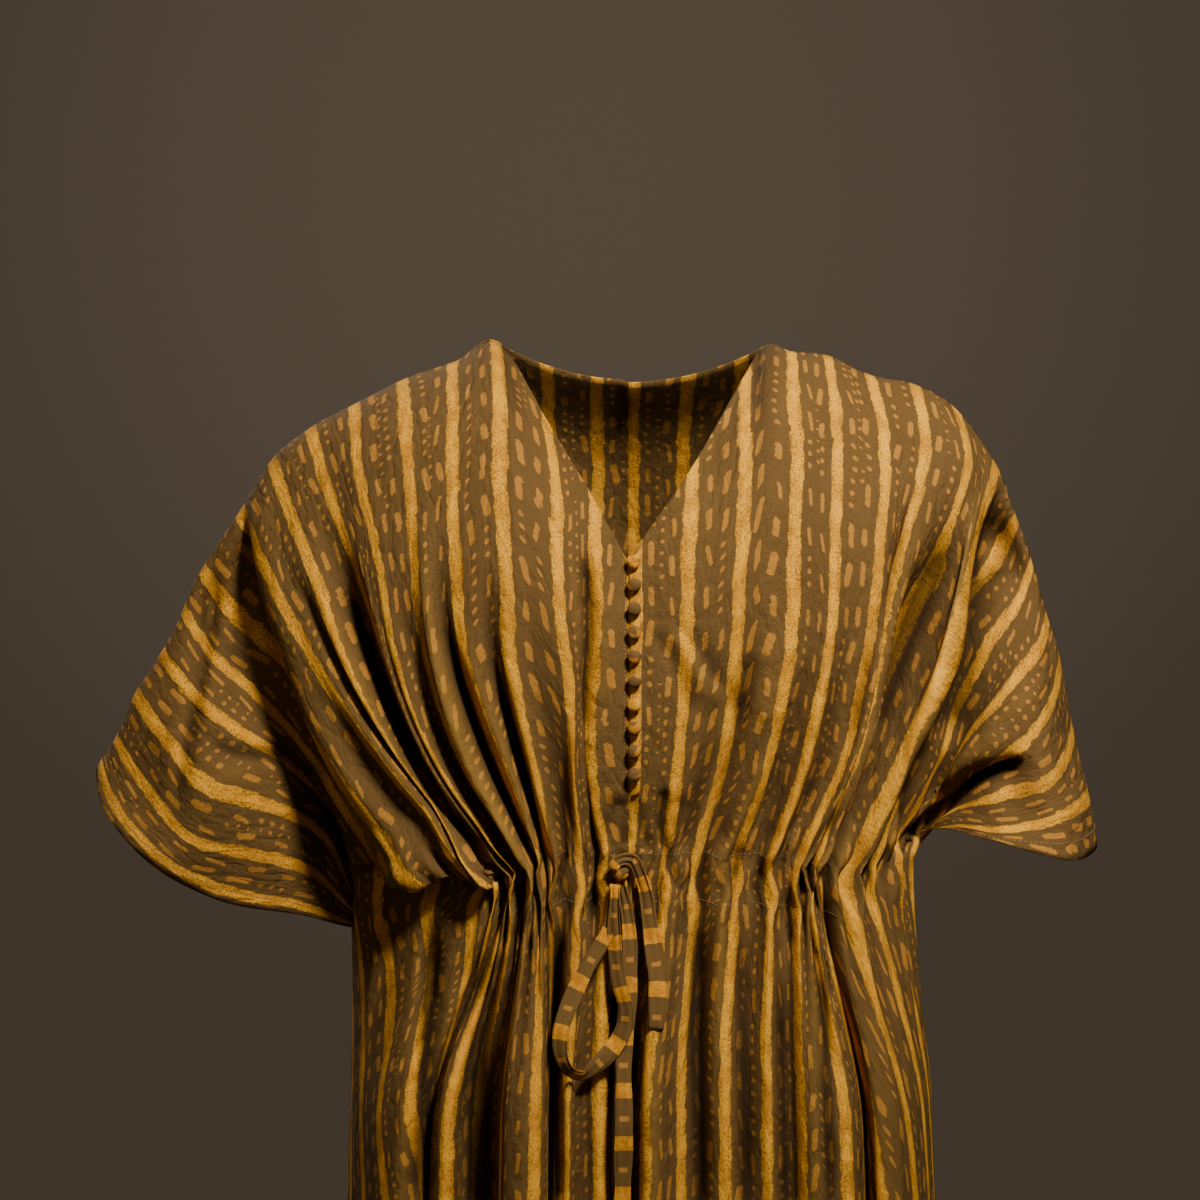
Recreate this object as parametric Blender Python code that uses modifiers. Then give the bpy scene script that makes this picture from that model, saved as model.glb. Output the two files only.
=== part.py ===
"""A worn cotton kaftan: front and back panels cut in one with their wide sleeves,
a V neck with a buttoned slit, and a drawstring that gathers the front at the waist.

Metres, +Z up. The origin lies between the shoulders, where the garment is held.
The front faces -Y. All the seams lie in the plane Y = 0.
"""

import math

import bmesh
import bpy
import numpy as np
from mathutils import Vector
from mathutils.bvhtree import BVHTree

MM = 0.001
WALL = 1.8 * MM
SEAM_GAP = 0.3 * MM
LOOK_DOWN = math.radians(9)

# The flat cut of each panel, in millimetres from the centre and down the cloth.
HALF_BODY = 430
HALF_CLOTH = 540
NECK_HALF = 88
SLIT_END = 0.77

HEM_DOWN = 1255
CASING_DEEP = 30
BACK_DEPTH = 104

BUTTONS = 10
BUTTON_RADIUS = 5.2 * MM
BUTTON_TOP = 8
BUTTON_PITCH = 15.9
STRIP_WIDE = 9.5

TAPE_WIDE = 12 * MM
TAPE_THICK = 1.6 * MM
KNOT_AT = (-6, 357)
KNOT_SIZE = (9, 6, 8)

# The drawstring's free parts as (across, down) places, from the knot outward.
RIGHT_TAIL = ((8.2, 354.4), (13.6, 370), (17, 393), (20, 412), (22, 428), (22, 446), (21, 463))
LEFT_TAIL = ((-5, 364.6), (-1, 387), (1, 409), (0, 440), (-3, 475), (-3, 530), (-4, 590), (-4, 628))
LOOP = (
    (-9, 366.6), (-12, 393), (-29, 424), (-39, 444), (-46, 464), (-46, 479), (-39, 492), (-31, 495),
    (-22, 489), (-10, 477), (-3, 464), (-3, 445), (-6, 436), (-8, 424), (-10, 396), (-9, 366.6),
)

# Each row is one line of the cloth as it hangs: how far from the centre it lies in
# the flat cut, then six stations of (across, down, forward) from the shoulder or
# neck edge to the waist or underarm seam, as seen from the front a little above.
LEFT_LINES = (
    (0, (-1, 147, 104), (0, 180, 112), (0, 228, 120), (0, 277, 120), (0, 318, 114), (0, 347, 106)),
    (22, (-23, 106, 92), (-21, 152, 112), (-21, 201, 122), (-25, 242, 124), (-26, 297, 120), (-17, 347, 106)),
    (58, (-55, 52, 62), (-47, 118, 104), (-45, 173, 120), (-39, 228, 124), (-37, 284, 118), (-33, 347, 106)),
    (88, (-86, -1, 0), (-80, 63, 86), (-76, 146, 118), (-72, 221, 122), (-59, 290, 114), (-49, 347, 105)),
    (130, (-119, 10, 0), (-119, 63, 76), (-115, 139, 110), (-110, 208, 116), (-83, 290, 112), (-59, 348, 103)),
    (166, (-154, 22, 0), (-150, 63, 62), (-143, 139, 102), (-134, 211, 112), (-108, 290, 110), (-68, 351, 102)),
    (202, (-188, 39, 0), (-184, 77, 52), (-170, 139, 92), (-155, 215, 106), (-125, 290, 108), (-77, 354, 100)),
    (238, (-218, 55, 0), (-204, 94, 46), (-187, 146, 82), (-166, 211, 100), (-137, 287, 108), (-83, 357, 98)),
    (274, (-244, 76, 0), (-230, 111, 40), (-213, 156, 72), (-190, 215, 96), (-154, 280, 106), (-89, 358, 96)),
    (310, (-265, 109, 0), (-251, 143, 36), (-230, 184, 64), (-197, 234, 90), (-157, 290, 104), (-97, 358, 92)),
    (346, (-293, 151, 0), (-273, 181, 26), (-242, 216, 56), (-213, 266, 78), (-174, 322, 92), (-130, 362, 80)),
    (370, (-301, 166, 0), (-284, 198, 24), (-253, 228, 44), (-221, 270, 60), (-190, 326, 66), (-157, 365, 52)),
    (394, (-310, 188, 0), (-291, 217, 26), (-261, 244, 44), (-226, 277, 48), (-199, 328, 42), (-177, 366, 34)),
    (430, (-327, 217, 0), (-306, 244, 30), (-275, 270, 48), (-235, 293, 42), (-207, 319, 24), (-192, 369, 0)),
    (454, (-339, 235, 0), (-319, 264, 34), (-287, 297, 54), (-248, 311, 48), (-211, 331, 24), (-191, 377, 0)),
    (490, (-353, 266, 0), (-330, 301, 34), (-292, 336, 56), (-253, 346, 50), (-218, 358, 24), (-190, 388, 0)),
    (540, (-368, 289, 0), (-362, 315, 30), (-337, 346, 52), (-285, 378, 54), (-226, 391, 26), (-190, 400, 0)),
)
RIGHT_LINES = (
    (0, (-1, 147, 104), (0, 180, 112), (0, 228, 120), (0, 277, 120), (0, 318, 114), (0, 347, 106)),
    (39, (43, 83, 84), (39, 132, 108), (37, 180, 118), (37, 235, 122), (32, 290, 118), (25, 347, 106)),
    (76, (80, 19, 24), (79, 63, 80), (75, 132, 112), (72, 201, 120), (65, 277, 116), (46, 348, 105)),
    (88, (91, 1, 0), (88, 63, 84), (86, 132, 112), (83, 201, 120), (76, 277, 116), (55, 348, 105)),
    (112, (112, 3, 0), (113, 56, 76), (110, 125, 108), (110, 201, 118), (97, 273, 115), (74, 348, 104)),
    (149, (138, 6, 0), (141, 56, 66), (139, 125, 102), (135, 201, 114), (121, 273, 112), (97, 349, 103)),
    (185, (166, 19, 0), (174, 63, 56), (171, 125, 92), (161, 201, 106), (148, 273, 108), (114, 351, 101)),
    (222, (198, 26, 0), (203, 70, 46), (190, 125, 80), (175, 187, 94), (161, 263, 104), (123, 354, 99)),
    (258, (226, 43, 0), (233, 83, 40), (218, 132, 66), (192, 188, 76), (164, 266, 92), (131, 357, 96)),
    (295, (254, 82, 0), (241, 121, 36), (226, 166, 72), (214, 218, 84), (189, 273, 90), (148, 358, 88)),
    (331, (268, 119, 0), (258, 147, 22), (233, 177, 44), (219, 218, 60), (200, 287, 66), (168, 354, 72)),
    (368, (279, 149, 0), (270, 175, 26), (250, 204, 46), (230, 237, 50), (214, 287, 50), (186, 353, 48)),
    (404, (290, 187, 0), (282, 209, 32), (264, 231, 58), (239, 259, 60), (215, 304, 42), (195, 351, 24)),
    (430, (296, 204, 0), (290, 232, 38), (272, 257, 70), (248, 278, 70), (222, 310, 46), (197, 348, 0)),
    (441, (299, 218, 0), (293, 242, 38), (275, 268, 72), (251, 285, 74), (225, 313, 50), (199, 344, 0)),
    (477, (308, 263, 0), (302, 285, 42), (282, 303, 80), (253, 310, 84), (226, 317, 56), (201, 337, 0)),
    (514, (319, 309, 0), (315, 315, 44), (291, 325, 86), (259, 331, 90), (228, 329, 60), (202, 331, 0)),
    (540, (325, 340, 0), (319, 347, 46), (297, 350, 92), (262, 341, 96), (228, 332, 62), (203, 328, 0)),
)

# The front skirt at knee height, out from its middle to each side seam: the place in
# the flat cut, then (across, forward) round the pleats.
SKIRT_LEFT = (
    (0, -4, 84), (10, -9, 100), (18, -13, 112), (22, -19, 112), (33, -28, 106), (43, -36, 112),
    (58, -42, 126), (63, -47, 124), (80, -50, 100), (88, -52, 88), (103, -54, 110), (123, -55, 138),
    (130, -60, 144), (142, -72, 146), (151, -80, 142), (160, -84, 134), (177, -87, 110), (190, -90, 92),
    (199, -98, 84), (209, -108, 86), (220, -114, 98), (233, -118, 114), (239, -124, 122), (246, -130, 118),
    (259, -134, 100), (273, -137, 80), (284, -140, 96), (295, -144, 108), (308, -156, 104), (328, -168, 88),
    (356, -178, 62), (392, -185, 32), (430, -187, 0),
)
SKIRT_RIGHT = (
    (0, -4, 84), (12, 2, 100), (30, 5, 126), (38, 9, 138), (45, 16, 138), (59, 24, 126),
    (69, 30, 119), (76, 34, 116), (89, 46, 124), (106, 58, 136), (112, 62, 138), (123, 72, 134),
    (134, 80, 126), (144, 88, 132), (150, 92, 136), (161, 101, 128), (172, 108, 118), (183, 114, 128),
    (187, 117, 132), (198, 126, 138), (210, 138, 138), (222, 149, 131), (234, 155, 118), (252, 158, 92),
    (263, 160, 76), (276, 163, 94), (289, 168, 110), (298, 177, 108), (318, 188, 92), (346, 197, 66),
    (385, 203, 34), (430, 206, 0),
)

# Where the bodice's big drapes end, and where the right sleeve rolls in: (the part of
# the line from the shoulder down, the place in the flat cut).
LEFT_EDGE = ((0, 303), (0.2, 322), (0.4, 342), (0.6, 354), (0.8, 364), (0.93, 368), (1, 372))
RIGHT_EDGE = ((0, 300), (0.2, 298), (0.4, 302), (0.6, 314), (0.8, 332), (1, 356))
ROLL_EDGE = ((0, 450), (0.42, 448), (0.6, 430), (0.8, 402), (1, 372))

# Folds of the bodice: place in the flat cut at the top and at the waist, half width,
# height (a trough is below nought), and the part of the line where it starts and is full.
BODICE_FOLDS = (
    (-32, -30, 7, -9, 0.05, 0.35), (-58, -56, 7, 6, 0.50, 0.90), (-76, -74, 10, -7, 0.45, 0.90),
    (-93, -94, 8, 8, 0.40, 0.80), (-107, -109, 6, -12, 0.42, 0.82), (-128, -126, 8, 8, 0.42, 0.85),
    (-146, -146, 6, -16, 0.36, 0.74), (-158, -160, 8, 14, 0.26, 0.70), (-186, -180, 9, -7, 0.35, 0.80),
    (-208, -200, 9, 7, 0.35, 0.80), (-236, -222, 9, 8, 0.25, 0.70), (-258, -246, 14, -21, 0.12, 0.55),
    (-276, -270, 9, 8, 0.20, 0.65), (-294, -290, 6, -8, 0.15, 0.55), (-311, -308, 9, 6, 0.25, 0.70),
    (-330, -326, 10, -6, 0.35, 0.75), (62, 60, 8, -6, 0.50, 0.90), (84, 80, 8, -9, 0.45, 0.85),
    (112, 100, 10, 7, 0.45, 0.90), (130, 124, 8, -9, 0.50, 0.90), (149, 148, 8, 9, 0.40, 0.80),
    (168, 166, 8, -8, 0.35, 0.85), (194, 198, 8, 9, 0.25, 0.70), (218, 217, 6, -11, 0.22, 0.66),
    (234, 236, 7, 6, 0.30, 0.70), (262, 264, 16, -19, 0.12, 0.45), (292, 300, 8, 11, 0.14, 0.50),
    (326, 330, 10, -8, 0.20, 0.60), (386, 380, 12, -7, 0.10, 0.40), (420, 412, 10, 6, 0.12, 0.45),
)

# The fine gathers that the drawstring draws up: place in the flat cut and height.
GATHERS = (
    (-20, 4), (-44, 3), (-68, 5), (-87, 8), (-105, 9), (-123, 10), (-142, 9), (-161, 10),
    (-180, 9), (-199, 10), (-218, 9), (-237, 10), (-256, 8), (-276, 6), (-297, 4), (-322, 4),
    (-352, 5), (-384, 4), (30, 3), (52, 4), (74, 3), (98, 5), (122, 5), (146, 7), (167, 9),
    (186, 10), (204, 9), (223, 10), (242, 9), (261, 8), (281, 7), (304, 5), (332, 5), (366, 4),
)


def place(across, down, forward):
    """A point seen from the front, a little above, as a place in the room."""
    z = -down / math.cos(LOOK_DOWN) + forward * math.tan(LOOK_DOWN)
    return np.stack([across * MM, -forward * MM, z * MM], axis=-1)


def smooth(x):
    x = np.clip(x, 0, 1)
    return x * x * (3 - 2 * x)


def through(knots, values, at):
    """A smooth curve through the values, one for each knot, read at other places."""
    knots = np.asarray(knots, float)
    values = np.asarray(values, float)
    slope = np.gradient(values, knots, axis=0)
    i = np.clip(np.searchsorted(knots, at, side="right") - 1, 0, len(knots) - 2)
    h = knots[i + 1] - knots[i]
    t = (at - knots[i]) / h
    shape = (-1,) + (1,) * (values.ndim - 1)
    h = h.reshape(shape)
    t = t.reshape(shape)
    return (
        (2 * t**3 - 3 * t**2 + 1) * values[i]
        + (t**3 - 2 * t**2 + t) * h * slope[i]
        + (3 * t**2 - 2 * t**3) * values[i + 1]
        + (t**3 - t**2) * h * slope[i + 1]
    )


def along(points, steps, first=None, last=None):
    """Even steps along a smooth curve through six stations, leaving and arriving as told."""
    knots = np.concatenate([[0], np.cumsum(np.linalg.norm(np.diff(points, axis=0), axis=1))])
    fine = np.linspace(0, knots[-1], 121)
    slope = np.gradient(points, knots, axis=0)
    if first is not None:
        slope[0] = first
    if last is not None:
        slope[-1] = last
    i = np.clip(np.searchsorted(knots, fine, side="right") - 1, 0, len(knots) - 2)
    h = (knots[i + 1] - knots[i])[:, None]
    t = (fine[:, None] - knots[i][:, None]) / h
    line = (
        (2 * t**3 - 3 * t**2 + 1) * points[i]
        + (t**3 - 2 * t**2 + t) * h * slope[i]
        + (3 * t**2 - 2 * t**3) * points[i + 1]
        + (t**3 - t**2) * h * slope[i + 1]
    )
    run = np.concatenate([[0], np.cumsum(np.linalg.norm(np.diff(line, axis=0), axis=1))])
    return np.stack([np.interp(steps * run[-1], run, line[:, k]) for k in range(3)], axis=1), run[-1]


def stations(u, back):
    """The six stations of the line of cloth at u, for the front or the back."""
    rows = LEFT_LINES if u < 0 else RIGHT_LINES
    knots = [row[0] for row in rows]
    table = np.array([row[1:] for row in rows], float).reshape(len(rows), 18)
    flat = abs(float(u))
    six = through(knots, table, np.array([flat]))[0].reshape(6, 3)
    seam = flat >= NECK_HALF
    if not back:
        return six, seam
    if flat < NECK_HALF:
        rise = 1 - (flat / NECK_HALF) ** 2
        corner = table[knots.index(NECK_HALF)].reshape(6, 3)[0]
        six[0] = (corner[0] * flat / NECK_HALF, corner[1] + 22 * rise, -30 * rise)
    wing = six * (1, 1, -0.9)
    if flat >= HALF_BODY:
        return wing, seam
    side = table[knots.index(HALF_BODY)].reshape(6, 3)[5]
    turn = flat / HALF_BODY * math.pi / 2
    end = np.array((side[0] * math.sin(turn), 352 + (side[1] - 352) * (flat / HALF_BODY) ** 4, 0))
    round_it = 0.25 + 0.75 * math.cos(turn)
    body = np.array(
        [
            six[0] + (end - six[0]) * (t, t, 0) + (0, 0, -BACK_DEPTH * deep * round_it)
            for t, deep in ((0, 0), (0.14, 0.52), (0.36, 0.82), (0.60, 0.92), (0.82, 0.97), (1, 1))
        ]
    )
    body[0] = six[0]
    body[5][2] = -BACK_DEPTH * math.cos(turn)
    w = float(smooth((HALF_BODY - flat) / 110))
    return body * w + wing * (1 - w), seam


def upper(us, ts, back=False):
    """Points of a panel from its top edge to the waist or underarm, and each line's length."""
    grid = np.zeros((len(us), len(ts), 3))
    long = np.zeros(len(us))
    away = 1.0 if back else -1.0
    for i, u in enumerate(us):
        six, seam = stations(u, back)
        points = place(six[:, 0], six[:, 1], six[:, 2])
        first = np.array([0, away, 0]) if seam else None
        last = np.array([0, -away, 0]) if abs(u) >= HALF_BODY else None
        grid[i], long[i] = along(points, ts, first, last)
    return grid, long


def facing(grid, away):
    """The outward normals of a grid of points."""
    across = np.gradient(grid, axis=0)
    down = np.gradient(grid, axis=1)
    out = np.cross(across, down)
    out /= np.maximum(np.linalg.norm(out, axis=2, keepdims=True), 1e-9)
    middle = out[len(out) // 2, out.shape[1] // 2]
    return out if middle[1] * away > 0 else -out


def bump(u, centre, half):
    return np.exp(-(((u - centre) / half) ** 2))


def bodice_relief(us, ts):
    """How far the folds and gathers lift the front bodice."""
    u, t = np.meshgrid(us, ts, indexing="ij")
    lift = np.zeros_like(u)
    for top, waist, half, height, start, full in BODICE_FOLDS:
        centre = top + (waist - top) * t
        grow = smooth((t - start) / (full - start))
        lift += bump(u, centre, half * (1.15 - 0.15 * t)) * height * grow * (1 - 0.35 * smooth((t - 0.9) / 0.1))
    for centre, height in GATHERS:
        lift += bump(u, centre, 5.5) * height * smooth((t - 0.86) / 0.12)
    # The upright pleat down the left sleeve.
    lift += 9 * bump(t, 0.40, 0.09) * smooth((-400 - u) / 60)
    return lift


def drape_shift(us, ts):
    """Where the drapes' edges overhang: shifts (across, down, forward) of the front."""
    u, t = np.meshgrid(us, ts, indexing="ij")
    shift = np.zeros(u.shape + (3,))
    for side, rows, deep, under in ((-1, LEFT_EDGE, 18, 10), (1, RIGHT_EDGE, 19, 8), (1, ROLL_EDGE, 15, 9)):
        at, line = np.array(rows).T
        beyond = u * side - np.interp(t, at, line)
        reach = smooth(t / 0.12) * (1 - smooth((t - 0.93) / 0.07))
        if rows is ROLL_EDGE:
            reach = smooth((t - 0.36) / 0.14) * (1 - smooth((t - 0.92) / 0.08))
        drop = smooth((beyond + 3) / 9) * (1 - smooth((beyond - 34) / 70))
        tuck = smooth((beyond + 1) / 8) * (1 - smooth((beyond - 9) / 34))
        ridge = bump(beyond, -12, 13) * 0.35
        mine = (u * side > 0) * reach
        shift[..., 2] += deep * (ridge - drop) * mine
        if rows is ROLL_EDGE:
            shift[..., 1] -= under * tuck * mine
        else:
            shift[..., 0] -= side * under * tuck * mine
    # The cloth over the waist blouses out at the left and hangs over the casing.
    pouch = smooth((u + 388) / 22) * smooth((-232 - u) / 26)
    hang = smooth((t - 0.80) / 0.13) * (1 - smooth((t - 0.95) / 0.048))
    shift[..., 1] += 14 * pouch * hang
    shift[..., 2] += 12 * pouch * hang
    return shift


def back_waves(us):
    """The deep soft folds in which the wide back hangs."""
    flat = np.abs(us) / HALF_BODY
    return np.cos(us * (2 * math.pi / 86)) * smooth((1 - flat) / 0.16)


def section(us, left):
    """Places round the pleated front skirt at knee height, for places in the cut."""
    rows = np.array(SKIRT_LEFT if left else SKIRT_RIGHT, float)
    return through(rows[:, 0], rows[:, 1:], np.abs(us))


def skirt(us, ss, waist, back=False):
    """Points of the skirt from below the waist to the hem, for each place in the cut."""
    if back:
        turn = us / HALF_BODY * math.pi / 2
        wide = np.where(us < 0, -SKIRT_LEFT[-1][1], SKIRT_RIGHT[-1][1])
        knee = np.stack([np.sin(turn) * wide, np.cos(turn) * 112 + 15 * back_waves(us)], axis=1)
    else:
        knee = np.where((us < 0)[:, None], section(us, True), section(us, False))
    sign = 1 if back else -1
    grid = np.zeros((len(us), len(ss), 3))
    hem = -HEM_DOWN * MM
    for j, s in enumerate(ss):
        open_out = float(smooth(s / 0.20)) * 0.85 + 0.15 * s
        flare = 1 + 0.20 * s
        soft = 1 - 0.18 * float(smooth((s - 0.5) / 0.5))
        x = knee[:, 0] * flare
        y = knee[:, 1] * MM * soft * (1 + 0.16 * s)
        grid[:, j, 0] = waist[:, 0] + (x * MM - waist[:, 0]) * open_out
        grid[:, j, 1] = waist[:, 1] + (sign * y - waist[:, 1]) * open_out
        grid[:, j, 2] = waist[:, 2] + (hem - waist[:, 2]) * s
    return grid


def panel_points(us, ts, ss, back):
    """The middle surface of a panel: upper rows for all lines, skirt rows for the body's."""
    away = 1 if back else -1
    top, _ = upper(us, ts, back)
    edge = smooth((HALF_CLOTH + 6 - np.abs(us)) / 12)[:, None]
    hold = smooth(ts / 0.08)[None, :] * edge
    seam = 1 - smooth((np.abs(us)[:, None] - 392) / 36) * smooth((ts[None, :] - 0.8) / 0.2)
    if back:
        lift = 11 * back_waves(us)[:, None] * smooth((ts - 0.12) / 0.6)[None, :]
    else:
        lift = bodice_relief(us, ts)
        shift = drape_shift(us, ts) * (hold * seam)[:, :, None]
        top = top + place(shift[..., 0], shift[..., 1], shift[..., 2])
    top = top + facing(top, away) * (lift * MM * hold * seam)[:, :, None]
    body = np.abs(us) <= HALF_BODY
    low = skirt(us[body], ss, top[body][:, -1], back)
    limit = SEAM_GAP / 2
    for grid in (top, low):
        grid[:, :, 1] = np.maximum(grid[:, :, 1], limit) if back else np.minimum(grid[:, :, 1], -limit)
    return top, low, body


def collection(name):
    made = bpy.data.collections.new(name)
    bpy.context.scene.collection.children.link(made)
    return made


def material(name, colour, roughness, metallic=0.0):
    made = bpy.data.materials.new(name)
    made.use_nodes = True
    shader = made.node_tree.nodes["Principled BSDF"]
    shader.inputs["Base Color"].default_value = (*colour, 1)
    shader.inputs["Roughness"].default_value = roughness
    shader.inputs["Metallic"].default_value = metallic
    return made


def add(name, mesh, slot, home):
    made = bpy.data.objects.new(name, mesh)
    made.data.materials.append(slot)
    home.objects.link(made)
    return made


def sheet(name, grid, slot, home, wall, low=None, body=None, slit=None):
    """One closed piece of cloth from a grid of points, with its skirt below it."""
    bm = bmesh.new()
    columns, rows = grid.shape[:2]
    bmesh.ops.create_grid(bm, x_segments=columns - 1, y_segments=rows - 1, size=1)
    bm.verts.ensure_lookup_table()
    order = sorted(bm.verts, key=lambda v: (round(v.co.x, 5), -round(v.co.y, 5)))
    for k, vert in enumerate(order):
        vert.co = Vector(grid[k // rows, k % rows])
    if low is not None:
        first = int(np.flatnonzero(body)[0])
        wide, deep = low.shape[:2]
        made = bmesh.ops.create_grid(bm, x_segments=wide - 1, y_segments=deep - 1, size=1)
        hung = sorted(made["verts"], key=lambda v: (round(v.co.x, 5), -round(v.co.y, 5)))
        for k, vert in enumerate(hung):
            vert.co = Vector(low[k // deep, k % deep])
        joins = {}
        for i in range(wide):
            joins[hung[i * deep]] = order[(first + i) * rows + rows - 1]
        bmesh.ops.weld_verts(bm, targetmap=joins)
    if slit:
        column, count = slit
        chain = [order[column * rows + j] for j in range(count + 1)]
        cut = [e for a, b in zip(chain, chain[1:]) for e in a.link_edges if e.other_vert(a) == b]
        bmesh.ops.split_edges(bm, edges=cut)
        for vert in bm.verts:
            if abs(vert.co.x - chain[0].co.x) < 0.6 * MM and vert.link_faces:
                middle = sum((f.calc_center_median().x for f in vert.link_faces)) / len(vert.link_faces)
                if len(vert.link_faces) <= 2 and vert.co.z > grid[column, count, 2] + 0.001:
                    vert.co.x += 1.6 * MM if middle > vert.co.x else -1.6 * MM
    bmesh.ops.recalc_face_normals(bm, faces=bm.faces)
    mesh = bpy.data.meshes.new(name)
    bm.to_mesh(mesh)
    bm.free()
    mesh.shade_smooth()
    made = add(name, mesh, slot, home)
    thick = made.modifiers.new("wall", "SOLIDIFY")
    thick.thickness = wall
    thick.offset = 0
    return made


def keep_to_side(made, away):
    """Make the wall real and keep all of it on its own side of the seams' plane."""
    whole = bpy.data.meshes.new_from_object(made.evaluated_get(bpy.context.evaluated_depsgraph_get()))
    for vert in whole.vertices:
        if vert.co.y * away < SEAM_GAP / 2:
            vert.co.y = away * SEAM_GAP / 2
    made.modifiers.clear()
    made.data = whole


def spread_columns(marks):
    """Places across the cut: (from, to, how many) runs joined into one list."""
    runs = [np.linspace(a, b, n, endpoint=False) for a, b, n in marks]
    return np.concatenate(runs + [[marks[-1][1]]])


def most_forward(grids, x, z, reach=9 * MM, tall=14 * MM):
    """How far forward the cloth stands near a place, as the least Y there."""
    near = [9.0]
    for grid in grids:
        flat = grid.reshape(-1, 3)
        pick = (np.abs(flat[:, 0] - x) < reach) & (np.abs(flat[:, 2] - z) < tall)
        if pick.any():
            near.append(flat[pick, 1].min())
    return min(near)


def tape(name, rows, layer, grids, slot, home):
    """A flat folded tape down a list of (across, down) places, lying on the cloth."""
    rows = np.array(rows, float)
    run = np.concatenate([[0], np.cumsum(np.linalg.norm(np.diff(rows, axis=0), axis=1))])
    at = np.linspace(0, run[-1], max(6, int(run[-1] / 9)))
    seen = through(run, rows, at)
    path = place(seen[:, 0], seen[:, 1], np.full(len(at), 122.0))
    layers = np.interp(at / run[-1], [0, 0.4, 0.6, 1], layer)
    rest = np.array([most_forward(grids, p[0], p[2], 13 * MM) for p in path])
    rest = np.convolve(np.pad(rest, 2, mode="edge"), np.ones(5) / 5, mode="valid")
    path[:, 1] = rest - (2.6 + layers) * MM
    ahead = np.gradient(path, axis=0)
    side = np.cross(ahead, (0, -1, 0))
    side /= np.linalg.norm(side, axis=1)[:, None]
    half = side * TAPE_WIDE / 2
    grid = np.stack([path - half, path, path + half], axis=0)
    return sheet(name, grid, slot, home, TAPE_THICK)


def ball(name, centre, size, slot, home, turn=0.0):
    """A cloth-covered ball, a little flatter than it is wide."""
    bm = bmesh.new()
    bmesh.ops.create_uvsphere(bm, u_segments=12, v_segments=8, radius=1)
    for vert in bm.verts:
        vert.co = Vector((vert.co.x * size[0], vert.co.y * size[1], vert.co.z * size[2]))
    mesh = bpy.data.meshes.new(name)
    bm.to_mesh(mesh)
    bm.free()
    mesh.shade_smooth()
    made = add(name, mesh, slot, home)
    made.location = centre
    made.rotation_euler = (turn, 0, 0)
    return made


def seat(made, target, gap=0.35 * MM):
    """Move a piece along Y until it lies just off the cloth behind it."""
    bpy.context.view_layer.update()
    graph = bpy.context.evaluated_depsgraph_get()
    shown = made.evaluated_get(graph)
    tree = BVHTree.FromObject(target, graph)
    room = []
    for vert in shown.data.vertices:
        spot = made.matrix_world @ vert.co
        hit, _, _, far = tree.ray_cast(spot, Vector((0, 1, 0)), 0.05)
        if hit:
            room.append(far)
    move = min(room) - gap
    if made.modifiers:
        for vert in made.data.vertices:
            vert.co.y += move
    else:
        made.location.y += move


def strip_and_buttons(top, centre, count, slot, home):
    """The button strip on the slit's right edge, made from the panel's points, and its buttons."""
    inner = top[centre, : count + 1] + (1.6 * MM, 0, 0)
    outer = top[centre + 1, : count + 1]
    out = facing(top, -1)[centre : centre + 2, : count + 1]
    wall = 1.0 * MM
    lift = WALL / 2 + SEAM_GAP + wall / 2 + 0.2 * MM
    lines = []
    for share in (0.06, 0.5, 0.94):
        line = inner + (outer - inner) * share
        lines.append(line + (out[0] * (1 - share) + out[1] * share) * lift)
    grid = np.array(lines)
    grid[:, 0] = grid[:, 0] * 0.85 + grid[:, 1] * 0.15
    sheet("placket_strip", grid, slot, home, wall)
    middle = grid[1]
    run = np.concatenate([[0], np.cumsum(np.linalg.norm(np.diff(middle, axis=0), axis=1))])
    for k in range(BUTTONS):
        at = (BUTTON_TOP + BUTTON_PITCH * k) * MM
        point = np.array([np.interp(at, run, middle[:, c]) for c in range(3)])
        face = np.array([np.interp(at, run, out[0][:, c]) for c in range(3)])
        face /= np.linalg.norm(face)
        spot = point + face * (wall / 2 + SEAM_GAP + BUTTON_RADIUS * 0.9 + 0.25 * MM)
        lean = math.atan2(face[2], -face[1])
        size = (BUTTON_RADIUS, BUTTON_RADIUS * 0.9, BUTTON_RADIUS)
        ball(f"button_{k + 1:02d}", spot, size, slot, home, -lean)


def tie(grids, front, slot, home):
    """The drawstring's knot, its loop and its two free ends."""
    x, _, z = place(*(float(k) for k in KNOT_AT), 112.0)
    rest = most_forward(grids, x, z, 10 * MM, 20 * MM)
    spot = (x, rest - WALL / 2 - SEAM_GAP - KNOT_SIZE[1] * MM - 0.3 * MM, z)
    knot = ball("tie_knot", spot, [k * MM for k in KNOT_SIZE], slot, home)
    seat(knot, front)
    seat(tape("tie_tail_right", RIGHT_TAIL, (2, 1, 0, 0), grids, slot, home), front)
    seat(tape("tie_tail_left", LEFT_TAIL, (0, 0, 0, 0), grids, slot, home), front)
    tape("tie_loop", LOOP, (3.4, 3.4, 4.4, 7), grids, slot, home)


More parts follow.
